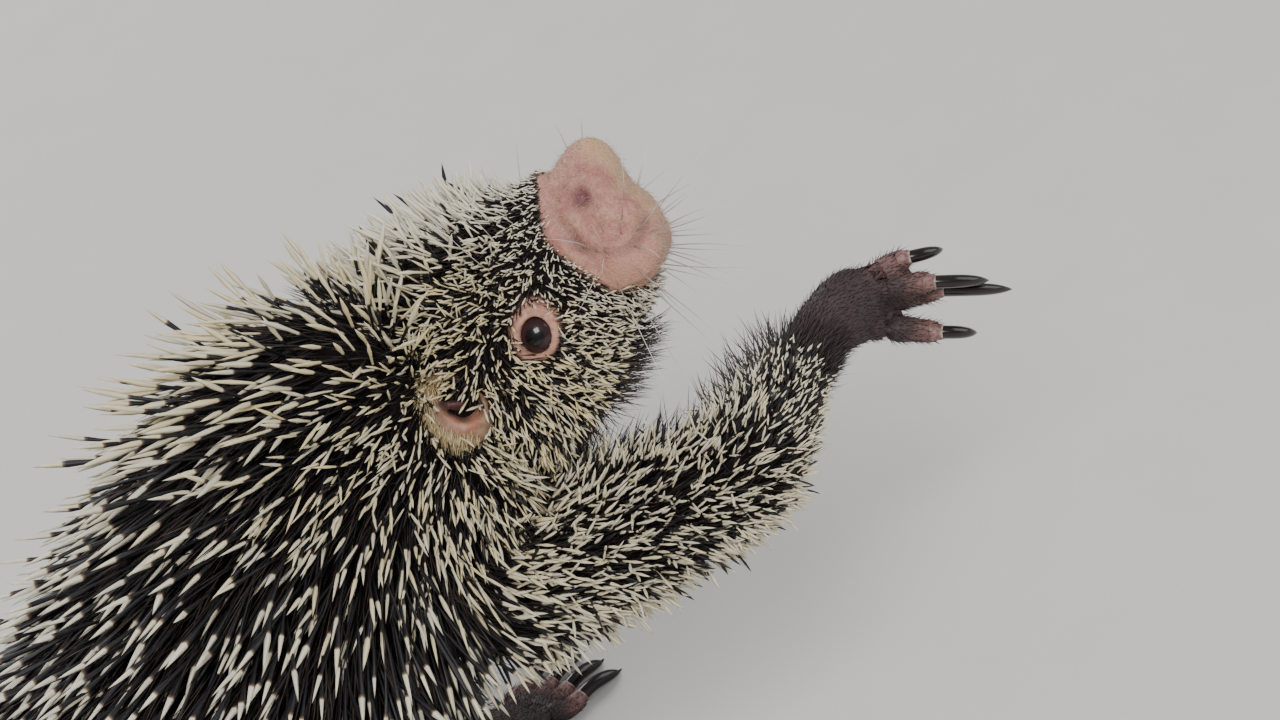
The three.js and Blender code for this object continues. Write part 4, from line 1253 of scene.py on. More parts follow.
def grow(name, roots, form, length, radius, way, bend, pale, sink=1.0):
    """Makes one coat piece: a spindle at each root, along `way`, its tip moved sideways by `bend`."""
    count, size = len(roots), len(form["share"])
    share, girth, angle = form["share"], form["girth"], form["angle"]
    side, top = perpendicular(way)
    spin = roots.rng.random(count)[:, None] * math.tau
    along = share[None, :, None] * length[:, None, None]
    centre = (roots.at - way * sink)[:, None, :] + way[:, None, :] * along
    centre = centre + bend[:, None, :] * (share**2)[None, :, None]
    wide = (girth[None, :] * radius[:, None])[:, :, None]
    turned_angle = (angle[None, :] + spin)[:, :, None]
    across = side[:, None, :] * np.cos(turned_angle)
    points = centre + wide * (across + top[:, None, :] * np.sin(turned_angle))
    corner = np.concatenate([np.array(face) for face in form["faces"]])
    total = np.array([len(face) for face in form["faces"]])
    loops = (corner[None, :] + np.arange(count)[:, None] * size).ravel()
    starts = np.concatenate([[0], np.cumsum(np.tile(total, count))[:-1]])
    mesh = bpy.data.meshes.new(name)
    mesh.vertices.add(count * size)
    world = to_world(points.reshape(-1, 3))
    world[:, 2] = np.maximum(world[:, 2], FLOOR_GAP)
    mesh.vertices.foreach_set("co", world.ravel())
    mesh.loops.add(len(loops))
    mesh.loops.foreach_set("vertex_index", loops)
    mesh.polygons.add(len(starts))
    mesh.polygons.foreach_set("loop_start", starts)
    mesh.polygons.foreach_set("use_smooth", np.ones(len(starts), bool))
    tint = np.ones((count, size, 4))
    tint[:, :, 0] = share[None, :]
    tint[:, :, 1] = pale[:, None]
    tint[:, :, 2] = roots.rng.random(count)[:, None]
    tint[:, :, 3] = np.reshape(roots.warm, (-1, 1))
    mesh.color_attributes.new("quill", "FLOAT_COLOR", "POINT").data.foreach_set("color", tint.ravel())
    shift = np.stack([angle / math.tau % 1, share], axis=1) * PATCH
    uv = (roots.uv[:, None, :] + shift[None, :, :]).reshape(-1, 2)
    mesh.uv_layers.new(name="OFBake").data.foreach_set("uv", uv[loops].ravel())
    mesh.update(calc_edges=True)
    mesh.validate()
    piece = bpy.data.objects.new(name, mesh)
    bpy.context.scene.collection.objects.link(piece)
    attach(piece, "root")
    print(name, count, "spindles,", count * sum(len(face) - 2 for face in form["faces"]), "triangles")
    return piece


# %% Aim the spindles, clear of the skin, the floor and the box
BOX_LOW, BOX_HIGH = (from_world(np.array(corner)) for corner in CAD_BOX)
FLOOR_CLEAR, BOX_CLEAR = 0.8, 0.9
TIP_LOW = BOX_LOW + np.array([BOX_CLEAR, BOX_CLEAR, FLOOR_CLEAR])
TIP_HIGH = BOX_HIGH - BOX_CLEAR
UPRIGHT_TRIES, LEAN_KEPT = 3, 0.6
SHORTENINGS, SHORTER = 16, 0.88
SKIN_SEARCH = 30
skin_tree = BVHTree.FromPolygons([Vector(p) for p in reading.points], reading.triangles.tolist())


def inside_box(tips):
    return ((tips > TIP_LOW) & (tips < TIP_HIGH)).all(axis=1)


def aimed(roots, length, lean, curl, stray, clear):
    """The way and bend of each spindle. It stands up if it dived into the skin, and shortens in the box."""
    drift = roots.rng.normal(0, 1, (len(roots), 3)) * np.reshape(stray, (-1, 1))
    lean = lean.copy()
    for turn_up in range(UPRIGHT_TRIES + 1):
        tilt = np.radians(lean)[:, None]
        way = unit(roots.out * np.cos(tilt) + roots.sweep * np.sin(tilt) + drift)
        if turn_up == UPRIGHT_TRIES:
            break
        for i, tip in enumerate(roots.at + way * length[:, None]):
            place, normal, _, _ = skin_tree.find_nearest(Vector(tip), SKIN_SEARCH)
            if place is not None and (Vector(tip) - place).dot(normal) < clear:
                lean[i] *= LEAN_KEPT
    bend = (roots.sweep * np.cos(tilt) - roots.out * np.sin(tilt)) * np.reshape(curl, (-1, 1))
    for _ in range(SHORTENINGS):
        over = ~inside_box(roots.at + (way + bend) * length[:, None])
        length = np.where(over, length * SHORTER, length)
    return length, way, bend * length[:, None]


# %% [markdown]
# ## The quill coat
#
# The coat is made in pieces that a keeper of the model would name: rump, back, shoulders, crown, face,
# both arms, legs and tail root. The quills of the back are the longest and thickest. They become finer
# towards the face, until they are no thicker than bristles between the eyes and the nose. The tables
# give each kind of body its thickness, how much of a quill is cream, how far the quills stray from one
# another, which share of them is dark to the point, and how yellow the cream is.

# %% Thickness and colour of the quills
RADIUS = {
    "trunk": {"crest": ((0, 0.95), (0.7, 1.05), (0.9, 0.95), (1, 0.8)),
              "flank": ((0, 0.95), (0.7, 1.05), (0.8, 0.85), (0.88, 0.58), (1, 0.45))},
    "skull": {"crest": ((0, 0.85), (0.3, 0.78), (0.5, 0.66), (0.62, 0.42), (0.7, 0.26)),
              "flank": ((0, 0.48), (0.3, 0.43), (0.5, 0.37), (0.62, 0.3), (0.7, 0.26))},
    "upper_arm": ((0, 0.68), (0.3, 0.56), (1, 0.48)),
    "thigh": ((0, 0.85), (1, 0.6)),
    "forearm": ((0, 0.4), (1, 0.24)),
    "shank": ((0, 0.4), (1, 0.24)),
    "other": 0.8,
}
PALE = {
    "trunk": ((0, 0.02), (0.78, 0.04), (0.87, 0.25), (1, 0.45)),
    "skull": {"crest": ((0, 0.42), (0.3, 0.46), (0.6, 0.5)), "flank": ((0, 0.5), (0.3, 0.58), (0.6, 0.65))},
    "upper_arm": ((0, 0.25), (0.4, 0.4), (1, 0.42)),
    "forearm": ((0, 0.42), (0.7, 0.2)),
    "other": 0.1,
}
STRAY = {
    "trunk": ((0, 0.17), (0.75, 0.18), (1, 0.31)),
    "skull": {"crest": ((0, 0.22), (0.7, 0.3)), "flank": ((0, 0.36), (0.7, 0.46))},
    "other": 0.36,
}
DARK = {
    "trunk": {"crest": ((0, 0), (1, 0)), "flank": ((0, 0.01), (0.75, 0.02), (1, 0.15))},
    "skull": {"crest": ((0, 0.03), (1, 0.05)), "flank": ((0, 0.12), (1, 0.12))},
    "other": 0.15,
}
WARM = {
    "trunk": ((0, 0.2), (0.7, 0.25), (0.9, 0.95)),
    "skull": {"crest": ((0, 0.3), (1, 0.2)), "flank": ((0, 1.2), (0.4, 1.2), (0.6, 0.4), (1, 0.1))},
    "other": 0.65,
}
reading.radius = reading.from_table(RADIUS)
reading.pale = reading.from_table(PALE)
reading.stray = reading.from_table(STRAY)
reading.dark = reading.from_table(DARK)
reading.warm = reading.from_table(WARM)
print("quills", (2 * reading.radius.min()).round(2), "to", (2 * reading.radius.max()).round(2), "mm thick")

# %% Zones of the coat
RUMP_END, BACK_END = 0.34, 0.66
CROWN_END = 2
trunk_t = reading.t[INDEX["trunk"]]
arm_names = [name for name in INDEX if "arm" in name]
leg_names = [name for name in INDEX if "thigh" in name or "shank" in name]
ZONES = {
    "rump": on_trunk & (trunk_t < RUMP_END),
    "back": on_trunk & (trunk_t >= RUMP_END) & (trunk_t < BACK_END),
    "shoulders": on_trunk & (trunk_t >= BACK_END),
    "crown": on_skull & (head_x < CROWN_END),
    "face": on_skull & (head_x >= CROWN_END),
    "arm_right": reading.is_on("upper_arm_right", "forearm_right"),
    "arm_left": reading.is_on("upper_arm_left", "forearm_left"),
    "legs": reading.is_on(*leg_names),
    "tail": on_tail,
}
print("vertices of each zone:", {zone: int(here.sum()) for zone, here in ZONES.items()})

# %% Grow the quills, zone by zone
QUILL_SEED = 10
QUILL_VARIES = {"length": (0.78, 1.12), "lean": 7, "curl": (0.03, 0.08), "radius": (0.82, 1.15)}
PALE_VARIES = (0.03, 0.3)
LEAST_PALE, ALL_DARK = -0.06, -0.4


def make_quills(zone, seed):
    here = ZONES[zone] * reading.quilled
    roots = Roots(reading, reading.spacing, here, seed)
    rng, count = roots.rng, len(roots)
    wanted = roots.read(reading.length) * rng.uniform(*QUILL_VARIES["length"], count)
    lean = roots.read(reading.lean) + rng.normal(0, QUILL_VARIES["lean"], count)
    curl = rng.normal(*QUILL_VARIES["curl"], count)
    length, way, bend = aimed(roots, wanted, lean, curl, roots.read(reading.stray), clear=0.8)
    radius = roots.read(reading.radius) * rng.uniform(*QUILL_VARIES["radius"], count)
    middle = roots.read(reading.pale)
    spread = PALE_VARIES[0] + PALE_VARIES[1] * middle
    pale = np.clip(middle + rng.normal(0, 1, count) * spread, LEAST_PALE, 1)
    pale[rng.random(count) < roots.read(reading.dark)] = ALL_DARK
    roots.warm = roots.read(reading.warm)
    piece = grow(f"quills_{zone}", roots, QUILL, length, radius, way, bend, pale)
    return piece


quill_pieces = {zone: make_quills(zone, QUILL_SEED + i) for i, zone in enumerate(ZONES)}

# %% [markdown]
# ## Fur
#
# Between the quills stands a coat of soft dark hair. It hides the skin and makes the back look nearly
# black under the cream points. Where there are no quills, on the belly and the paws, the same hair is
# short and lies flat, and on the throat, the chest and the inside of the arms it is long and loose.

# %% What the fur pieces are like
FUR_VARIES = {"length": (0.7, 1.2), "lean": 6, "curl": (0.1, 0.06), "radius": (0.8, 1.2), "pale": 0.2}
FUR = {
    "underfur_body": dict(spacing=1.8, radius=0.24, flat=62, pale=0.1, seed=31, stray=0.17),
    "underfur_front": dict(spacing=1.0, radius=0.17, flat=55, pale=0.15, seed=32, stray=0.25),
    "short_fur_body": dict(spacing=1.65, radius=0.22, pale=0.3, seed=33, stray=0.14),
    "long_fur_chest": dict(spacing=1.35, radius=0.2, pale=0.3, seed=38, stray=0.2),
    "short_fur_head": dict(spacing=1.05, radius=0.16, pale=0.3, seed=34, stray=0.14),
    "fur_paws": dict(spacing=0.9, radius=0.16, flat=58, pale=0.4, seed=35, stray=0.2, form=DOWN),
    "down_muzzle": dict(spacing=0.85, radius=0.085, flat=50, pale=0.9, seed=36, stray=0.28, form=DOWN),
    "down_lids": dict(spacing=1.1, radius=0.07, flat=55, pale=0.8, seed=37, stray=0.25, form=DOWN),
}
SOFT_LENGTH, LONG_LENGTH, FLAT_LEAN, LONG_LEAN = (4.5, 9), 17, 60, 34


def make_fur(name, here, length, spacing, radius, flat, pale, seed, stray, form=HAIR):
    """One piece of fur. Its length and lean are one number, or one for each vertex of the skin."""
    roots = Roots(reading, np.full(len(here), float(spacing)), here.astype(float), seed, crowd=2.2)
    rng, count = roots.rng, len(roots)
    wanted = (roots.read(length) if np.ndim(length) else length) * rng.uniform(*FUR_VARIES["length"], count)
    lean = (roots.read(flat) if np.ndim(flat) else flat) + rng.normal(0, FUR_VARIES["lean"], count)
    curl = rng.normal(*FUR_VARIES["curl"], count)
    long, way, bend = aimed(roots, wanted, lean, curl, stray, clear=0.15)
    thick = radius * rng.uniform(*FUR_VARIES["radius"], count)
    tone = np.clip(pale + rng.normal(0, FUR_VARIES["pale"], count), 0, 1)
    piece = grow(name, roots, form, long, thick, way, bend, tone, sink=0.3)
    return piece


# %% Where each kind of fur grows
quilled, plain = reading.quilled, (1 - reading.quilled) * (1 - bare)
body_zone = on_trunk | on_tail | reading.is_on(*leg_names)
paw_share = reading.weight[[INDEX[body.name] for body in PAW_BODIES]].sum(axis=0)
off_face = round_eye(1.35, 1.7) * clear_of(EAR_MIDDLE, 8, 10)
tail_t = reading.t[INDEX["tail"]]
furred_tail = np.where(on_tail, 1 - smooth(tail_t, 0.55, 0.8) * 0.6, 1)
inner = np.zeros(len(reading.points))
for name in arm_names:
    here = reading.is_on(name)
    inner[here] = inner_arm(BODIES[INDEX[name]], reading.angle[INDEX[name]])[here]
throat = on_trunk & (trunk_t > 0.72) & (np.sin(reading.angle[INDEX["trunk"]]) < 0.1)
throat = throat | (on_skull & (head_x < 12) & (head_z < 0))
long_fur = np.maximum(inner * (1 - paw_share), throat * 0.9)
furred = (~on_paw & ~on_skull) * plain * furred_tail
print("vertices with long fur:", int((long_fur > 0.5).sum()))

# %% Grow the fur
under = np.clip(reading.length * 0.72, 2.6, 30)
soft = np.clip(reading.length * 0.32, *SOFT_LENGTH) * (1 - long_fur) + LONG_LENGTH * long_fur
flat = FLAT_LEAN - (FLAT_LEAN - LONG_LEAN) * long_fur
fur_pieces = [
    make_fur("underfur_body", body_zone * quilled, under, **FUR["underfur_body"]),
    make_fur("underfur_front", (~body_zone) * quilled * off_face, under * 0.8, **FUR["underfur_front"]),
    make_fur("short_fur_body", furred * (1 - long_fur), soft, flat=flat, **FUR["short_fur_body"]),
    make_fur("long_fur_chest", furred * long_fur, soft, flat=flat, **FUR["long_fur_chest"]),
    make_fur("short_fur_head", on_skull * plain * off_face, soft * 0.85, flat=flat, **FUR["short_fur_head"]),
]

# %% Fine fur on the paws and down on the muzzle
paw_top = np.zeros(len(reading.points))
for name, (palm, toes, claws) in paws.items():
    for body in [palm, *toes]:
        i = INDEX[body.name]
        fade = 1 - 0.8 * smooth(reading.t[i], 0.3, 0.85) if body is not palm else np.ones(len(paw_top))
        here = reading.owner == i
        paw_top[here] = (smooth(np.sin(reading.angle[i]), -0.45, 0.0) * fade)[here]
for body in LOWERS:
    here = reading.is_on(body.name)
    paw_top[here] = smooth(reading.t[INDEX[body.name]], 0.5, 0.85)[here]
wrist = 3.4 + 5 * (1 - smooth(paw_share, 0, 0.9)) * smooth(paw_top, 0, 1)
fur_pieces.append(make_fur("fur_paws", paw_top, wrist, **FUR["fur_paws"]))
dent, slit = nostril_shares(head_place)
downy = bare * (1 - dent) * (1 - smooth(groove(line_distance(head_place, MOUTH), 1.2), 0.2, 0.6))
from_bulb = (head_place - np.array(NOSE_BULB["at"])) * np.array([1, 0, 1])
downy *= 1 - 0.6 * groove(norm(from_bulb, axis=1), 9)
down = make_fur("down_muzzle", downy, 2.7, **FUR["down_muzzle"])
lids = (1 - round_eye(1.3, 1.8)) * round_eye(0.95, 1.1)
lashes = make_fur("down_lids", lids, 1.9, **FUR["down_lids"])
print("pieces of fur:", [piece.name for piece in fur_pieces], down.name, lashes.name)

# %% [markdown]
# ## Whiskers
#
# Long pale whiskers fan out from the lip pads in rows, the upper ones up past the nose and the lower
# ones down. A few more stand on the brow and cheek. Each row is a loop, and each hair differs a little.

# %% Place the whiskers
WHISKER_ROWS = 4
WHISKERS_IN_ROW = 6
WHISKER_LONG = (24, 58)
WHISKER_RADIUS = 0.2
WHISKER_BED = {"start": (24, 15, -13), "ahead": (15, -5, 0), "up": (0, 0, 17), "stray": 0.8}
WHISKER_FAN = {"start": (0.05, 0.95, -0.9), "ahead": (0.75, -0.3, 0), "up": (0, 0, 1.35), "stray": 0.12}
LONE_WHISKERS = [  # place, way and length
    ((10, 15, 24), (0.35, 0.5, 0.8), 34),
    ((16, 12, 25), (0.6, 0.35, 0.75), 40),
    ((38, 8, 27), (0.5, 0.3, 0.8), 22),
    ((44, 5, 25), (0.75, 0.2, 0.55), 20),
    ((4, 20, 21), (0.1, 0.7, 0.7), 30),
    ((-6, 29, -12), (-0.25, 0.75, -0.6), 34),
    ((-10, 28, -16), (-0.5, 0.6, -0.6), 30),
]


class Placed:
    """Roots at given places: for each wanted place, the nearest place on the skin."""

    warm = 0.0

    def __init__(self, places, seed):
        self.rng = np.random.default_rng(seed)
        hits = [skin_tree.find_nearest(Vector(place)) for place in places]
        self.at = np.array([hit[0] for hit in hits])
        self.out = np.array([hit[1] for hit in hits])
        self.uv = reading.uv[[reading.triangles[hit[2], 0] for hit in hits]]

    def __len__(self):
        return len(self.at)


def on_grid(grid, c, r):
    """A place in a grid of rows and columns, at shares c ahead and r up."""
    return np.array(grid["start"]) + np.array(grid["ahead"]) * c + np.array(grid["up"]) * r


def whisker_specs(rng):
    """The root, way and length of each whisker in the head's axes."""
    specs = []
    for side in SIDES.values():
        mirror = np.array([1, side, 1])
        for row in range(WHISKER_ROWS):
            for column in range(WHISKERS_IN_ROW):
                r, c = row / (WHISKER_ROWS - 1), column / (WHISKERS_IN_ROW - 1)
                at = on_grid(WHISKER_BED, c, r) * mirror + rng.normal(0, WHISKER_BED["stray"], 3)
                way = on_grid(WHISKER_FAN, c, r) * mirror
                long = WHISKER_LONG[1] - (WHISKER_LONG[1] - WHISKER_LONG[0]) * c
                way = way + rng.normal(0, WHISKER_FAN["stray"], 3)
                specs.append((at, way, long * rng.uniform(0.6, 1.1)))
        specs += [(np.array(at) * mirror, np.array(way) * mirror, long) for at, way, long in LONE_WHISKERS]
    return specs


def make_whiskers(seed=51):
    rng = np.random.default_rng(seed)
    at, way, long = zip(*whisker_specs(rng))
    roots = Placed(head_point(np.array(at)), seed)
    way = unit(unit(head_way(np.array(way))) + roots.out * 0.35)
    droop = unit(np.cross(way, rng.normal(0, 1, (len(roots), 3)))) * 0.14
    length = np.array(long)
    for _ in range(30):
        length = np.where(inside_box(roots.at + (way + droop) * length[:, None]), length, length * 0.92)
    piece = grow("whiskers", roots, WHISKER, length, np.full(len(roots), WHISKER_RADIUS), way,
                 droop * length[:, None], np.full(len(roots), 1.0), sink=1.5)
    return piece


whiskers = make_whiskers()

# %% [markdown]
# ## Eyes
#
# The eyes are dark and wet, a little bulging. Each is one smooth ball. A value that grows from the axis
# of sight outwards is kept on its vertices, so that the iris and pupil can be rings of colour, and the
# wet gloss comes from a clear coat.

# %% Eyeballs
def paint(piece, name, *channels):
    """Keeps up to four values of each vertex in one colour attribute."""
    colour = np.ones((len(piece.data.vertices), 4))
    for k, channel in enumerate(channels):
        colour[:, k] = channel
    attribute = piece.data.color_attributes.new(name, "FLOAT_COLOR", "POINT")
    attribute.data.foreach_set("color", colour.ravel())


def make_eye(name, side):
    bpy.ops.mesh.primitive_uv_sphere_add(segments=48, ring_count=32, radius=EYE_RADIUS * MM)
    eye = bpy.context.object
    eye.name = f"eyeball_{name}"
    place = points_of(eye) / MM
    turned_place = np.stack([place[:, 0], place[:, 2] * side, place[:, 1]], axis=1)
    set_points(eye, to_world(head_point(turned_place + np.array([0, side * EYE_SIDE, 0]))))
    paint(eye, "sight", np.arccos(np.clip(place[:, 2] / EYE_RADIUS, -1, 1)) / math.pi)
    face_outwards(eye)
    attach(eye, "root")
    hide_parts(f"eye_{name}")
    return eye


eyes = {name: make_eye(name, side) for name, side in SIDES.items()}
print("eyes:", list(eyes))

# %% [markdown]
# ## Ears
#
# The ears are small and round, nearly lost among the quills. The rear and upper edge is a broad furry
# rim, the hollow lies ahead of it with one slanting fold, and the lower edge is a bare pink lip. A ball
# is flattened, its outer face is pushed in to make the hollow, and the rim and lip are raised.

# %% Ears
EAR = {"long": 11, "thick": 5.5, "tall": 12.3, "ahead": 0.5, "back": 0.6}
HOLLOW = {"at": (0.32, -0.04), "radii": (0.52, 0.66), "deep": 7.2}
EAR_RIM = {"at": 0.78, "wide": 0.27, "high": 2.8, "towards": 158, "spread": 80}
EAR_LOBE = {"at": 0.6, "wide": 0.15, "high": 1.7, "towards": -72, "spread": 42}
EAR_FLAP = {"at": (-0.16, -0.2), "radii": (0.22, 0.34), "high": 1.3}
EAR_FOLD = {"at": (0.26, 0.0), "lean": -45, "long": 0.42, "wide": 0.13, "high": 3.4}


def ear_shares(u, v):
    """Where the hollow, rim, lobe, flap and fold of the ear are. u runs ahead and v up, both from -1 to 1."""
    r, angle = np.hypot(u, v), np.degrees(np.arctan2(v, u))

    def arc(spec):
        aside = (angle - spec["towards"] + 180) % 360 - 180
        return groove(r - spec["at"], spec["wide"]) * groove(aside, spec["spread"])

    def oval(spec):
        return np.hypot((u - spec["at"][0]) / spec["radii"][0], (v - spec["at"][1]) / spec["radii"][1])

    along, across = leaning(u - EAR_FOLD["at"][0], v - EAR_FOLD["at"][1], EAR_FOLD["lean"])
    fold = groove(along, EAR_FOLD["long"]) * groove(across, EAR_FOLD["wide"])
    hollow = 1 - smooth(oval(HOLLOW), 0.45, 1.1)
    return hollow, arc(EAR_RIM), arc(EAR_LOBE), groove(oval(EAR_FLAP), 1), fold


def make_ear(name, side):
    bpy.ops.mesh.primitive_uv_sphere_add(segments=64, ring_count=64, radius=1)
    ear = bpy.context.object
    ear.name = f"ear_shell_{name}"
    ball = points_of(ear)
    u, v, out = ball.T
    hollow, rim, lobe, flap, fold = ear_shares(u, v)
    relief = -HOLLOW["deep"] * hollow + EAR_RIM["high"] * rim + EAR_LOBE["high"] * lobe
    relief += EAR_FLAP["high"] * flap + EAR_FOLD["high"] * fold
    depth = out * EAR["thick"] + relief * smooth(out, 0.0, 0.25)
    depth = np.maximum(depth, -EAR["thick"] * EAR["back"])
    face = unit(head_way((EAR["ahead"], side, 0.1)))
    ahead = -side * unit(np.cross(head_way((0, 0, 1)), face))
    rise = unit(head_way((0, 0, 1)) - face * (head_way((0, 0, 1)) @ face))
    middle = head_point(EAR_MIDDLE * np.array([1, side, 1]))
    own = middle + u[:, None] * ahead * EAR["long"] + v[:, None] * rise * EAR["tall"] + depth[:, None] * face
    set_points(ear, to_world(own))
    outer = smooth(out, -0.1, 0.2)
    paint(ear, "ear", hollow * outer, rim, (lobe + flap * 0.6) * outer, fold * outer)
    face_outwards(ear)
    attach(ear, "root")
    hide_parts(f"ear_{name}")
    return ear, u, v, rim, outer


EAR_LANE = {"right": len(BODIES), "left": len(BODIES) + 1}
EAR_HAIR = {"spacing": 0.46, "length": 3.6, "radius": 0.14, "lean": 62}


def make_ear_hair(name, side, seed):
    """Pale tufts on the rim of the ear, swept back and down over its edge."""
    ear, u, v, rim, outer = ears[name]
    surface = Surface(ear)
    surface.set_sweep(np.broadcast_to(head_way((-0.75, 0.15 * side, -0.65)), surface.points.shape))
    surface.uv = unrolled(np.arctan2(v, u), np.hypot(u, v), EAR_LANE[name])
    chosen = smooth(rim, 0.12, 0.35) * outer
    roots = Roots(surface, np.full(len(u), EAR_HAIR["spacing"]), chosen, seed, crowd=3)
    rng, count = roots.rng, len(roots)
    wanted = EAR_HAIR["length"] * rng.uniform(0.6, 1.25, count)
    lean = EAR_HAIR["lean"] + rng.normal(0, 9, count)
    long, way, bend = aimed(roots, wanted, lean, rng.normal(0.12, 0.05, count), 0.12, clear=-9)
    piece = grow(f"ear_hair_{name}", roots, HAIR, long, np.full(count, EAR_HAIR["radius"]), way, bend,
                 rng.random(count), sink=0.2)
    return piece


ears = {name: make_ear(name, side) for name, side in SIDES.items()}
ear_hair = [make_ear_hair(name, side, 61 + side) for name, side in SIDES.items()]
print("ears:", list(ears))

# %% [markdown]
# ## Claws
#
# Long curved claws, made for climbing. Each is a smooth horn that comes out of the toe, higher than it is
# wide. They are modelled on the same rows as the solid claws, with more rings. At the root of each a
# ring of skin, the cuticle, folds over the horn, and its front edge is pale.

# %% Claws
HORN_NET, ON_HORN = (20, 28), 0.6
CLAW_FLOOR_GAP, BOX_GAP = 0.0002, 0.0001
CUTICLE = {"radius": 2.62, "ahead": 0.8, "long": 4.2, "net": (20, 14), "under": 0.25}
COLLAR = ((0, 1.3), (0.3, 1.28), (0.6, 1.12), (0.82, 1.08), (1, 0.86))


def cuticle_body(claw):
    """A short collar round the root of a claw."""
    ahead = unit(claw.line[1] - claw.line[0])
    start = claw.line[0] + ahead * CUTICLE["ahead"]
    row = [(*(start + ahead * CUTICLE["long"] * s), *(np.array([0.86, 1]) * CUTICLE["radius"] * girth))
           for s, girth in COLLAR]
    return Body("cuticle", row, up=claw.up, caps=(0.6, 0.4))


def share_along(bodies, points, under=0.0):
    """How far along its body each vertex lies, drawn back on the under side."""
    along = np.zeros(len(points))
    for body in bodies:
        t, angle, outside = body.locate(from_world(points))
        share = t * (1 - under + under * np.sin(angle))
        along = np.where(np.abs(outside) < ON_HORN, np.maximum(along, share), along)
    return along


def make_claws(paw):
    claws = paws[paw][2]
    piece = join(f"claws_{paw}", [wrapped("horn", claw, *HORN_NET) for claw in claws])
    points = points_of(piece)
    along = share_along(claws, points)
    points[:, 2] = np.maximum(points[:, 2], CLAW_FLOOR_GAP)
    points[:, 0] = np.minimum(points[:, 0], CAD_BOX[1][0] - BOX_GAP)
    set_points(piece, points)
    paint(piece, "horn", along)
    shade_smooth(piece)
    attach(piece, "root")
    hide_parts(*(f"claw_{paw}_{i + 1}" for i in range(TOES)))
    return piece


def make_cuticles():
    bodies = [cuticle_body(claw) for _, _, claws in paws.values() for claw in claws]
    piece = join("cuticles", [wrapped("collar", body, *CUTICLE["net"]) for body in bodies])
    points = points_of(piece)
    paint(piece, "horn", share_along(bodies, points, CUTICLE["under"]))
    points[:, 2] = np.maximum(points[:, 2], FLOOR_GAP)
    set_points(piece, points)
    shade_smooth(piece)
    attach(piece, "root")
    return piece


claw_pieces = [make_claws(paw) for paw in PAWS]
cuticles = make_cuticles()
print("claws:", [piece.name for piece in claw_pieces])

# %% [markdown]
# ## Marks on the skin
#
# The skin is nearly black under the quills, pink on the muzzle and round the eyes, brown on the paws and
# scaly grey at the end of the tail. Each of these is a value from 0 to 1 at each vertex, worked out from
# its place, and the material mixes its colours by them.

# %% Marks on the toes
PINK_FROM = {"toe": 0.6, "last toe": 0.3}


def evened(values, rounds=8):
    """The values, each brought nearer to those of its neighbours on the skin."""
    pairs = np.vstack([reading.triangles[:, [k, (k + 1) % 3]] for k in range(3)])
    count = np.maximum(np.bincount(pairs.ravel(), minlength=len(values)), 1)
    for _ in range(rounds):
        total = sum(np.bincount(pairs[:, k], values[pairs[:, 1 - k]], len(values)) for k in range(2))
        values = (values + total / count) / 2
    return values


def toe_marks():
    """Pink on the knuckles and along the toes, and the share along each toe for its wrinkles."""
    pink, along = np.zeros(len(reading.points)), np.zeros(len(reading.points))
    for _, toes, _ in paws.values():
        for k, toe in enumerate(toes):
            i = INDEX[toe.name]
            here = reading.owner == i
            t, up = reading.t[i], np.sin(reading.angle[i])
            along[here] = t[here]
            first = PINK_FROM["last toe"] if k == TOES - 1 else PINK_FROM["toe"]
            share = smooth(t, first - 0.3, first + 0.15) * smooth(up, -0.5, 0.1)
            pink[here] = share[here]
    return evened(pink), along


pink, toe_along = toe_marks()
print("pink on", int((pink > 0.5).sum()), "vertices of the toes")

# %% Paint the marks
crease = np.clip(crease_share(head_place), 0, 1)
mouth = groove(line_distance(head_place, MOUTH), 1.1)
# Painted shade: the creases, the nostril dents and slits and the mouth line of the bare muzzle are darkened.
shade = np.clip(0.75 * crease + 0.55 * dent + 0.9 * slit + 0.9 * mouth, 0, 1) * bare
pads = smooth(-head_z, -1, 5) * bare
nose_front = smooth(head_x, 42, 46) * smooth(10 - np.abs(head_y), -1, 4) * bare
ring = 1 - round_eye(1.45, 1.8)
naked_tail = on_tail * smooth(tail_t, 0.5, 0.72)
paint(skin, "marks", bare, ring * on_skull, smooth(paw_share, 0.2, 0.8), naked_tail)
paint(skin, "tones", pads, shade, pink, nose_front)
paint(skin, "shares", np.where(on_tail, tail_t, toe_along), on_trunk, on_skull)
print("bare skin on", int((bare > 0.5).sum()), "vertices")

# %% [markdown]
# ## Materials
#
# Each material starts from a Principled shader. Small helpers add and link nodes, so that a material
# reads as a list of what it is made of. Effects that several finishes share are node groups: soft
# blotches, and the fine relief of wrinkled skin.

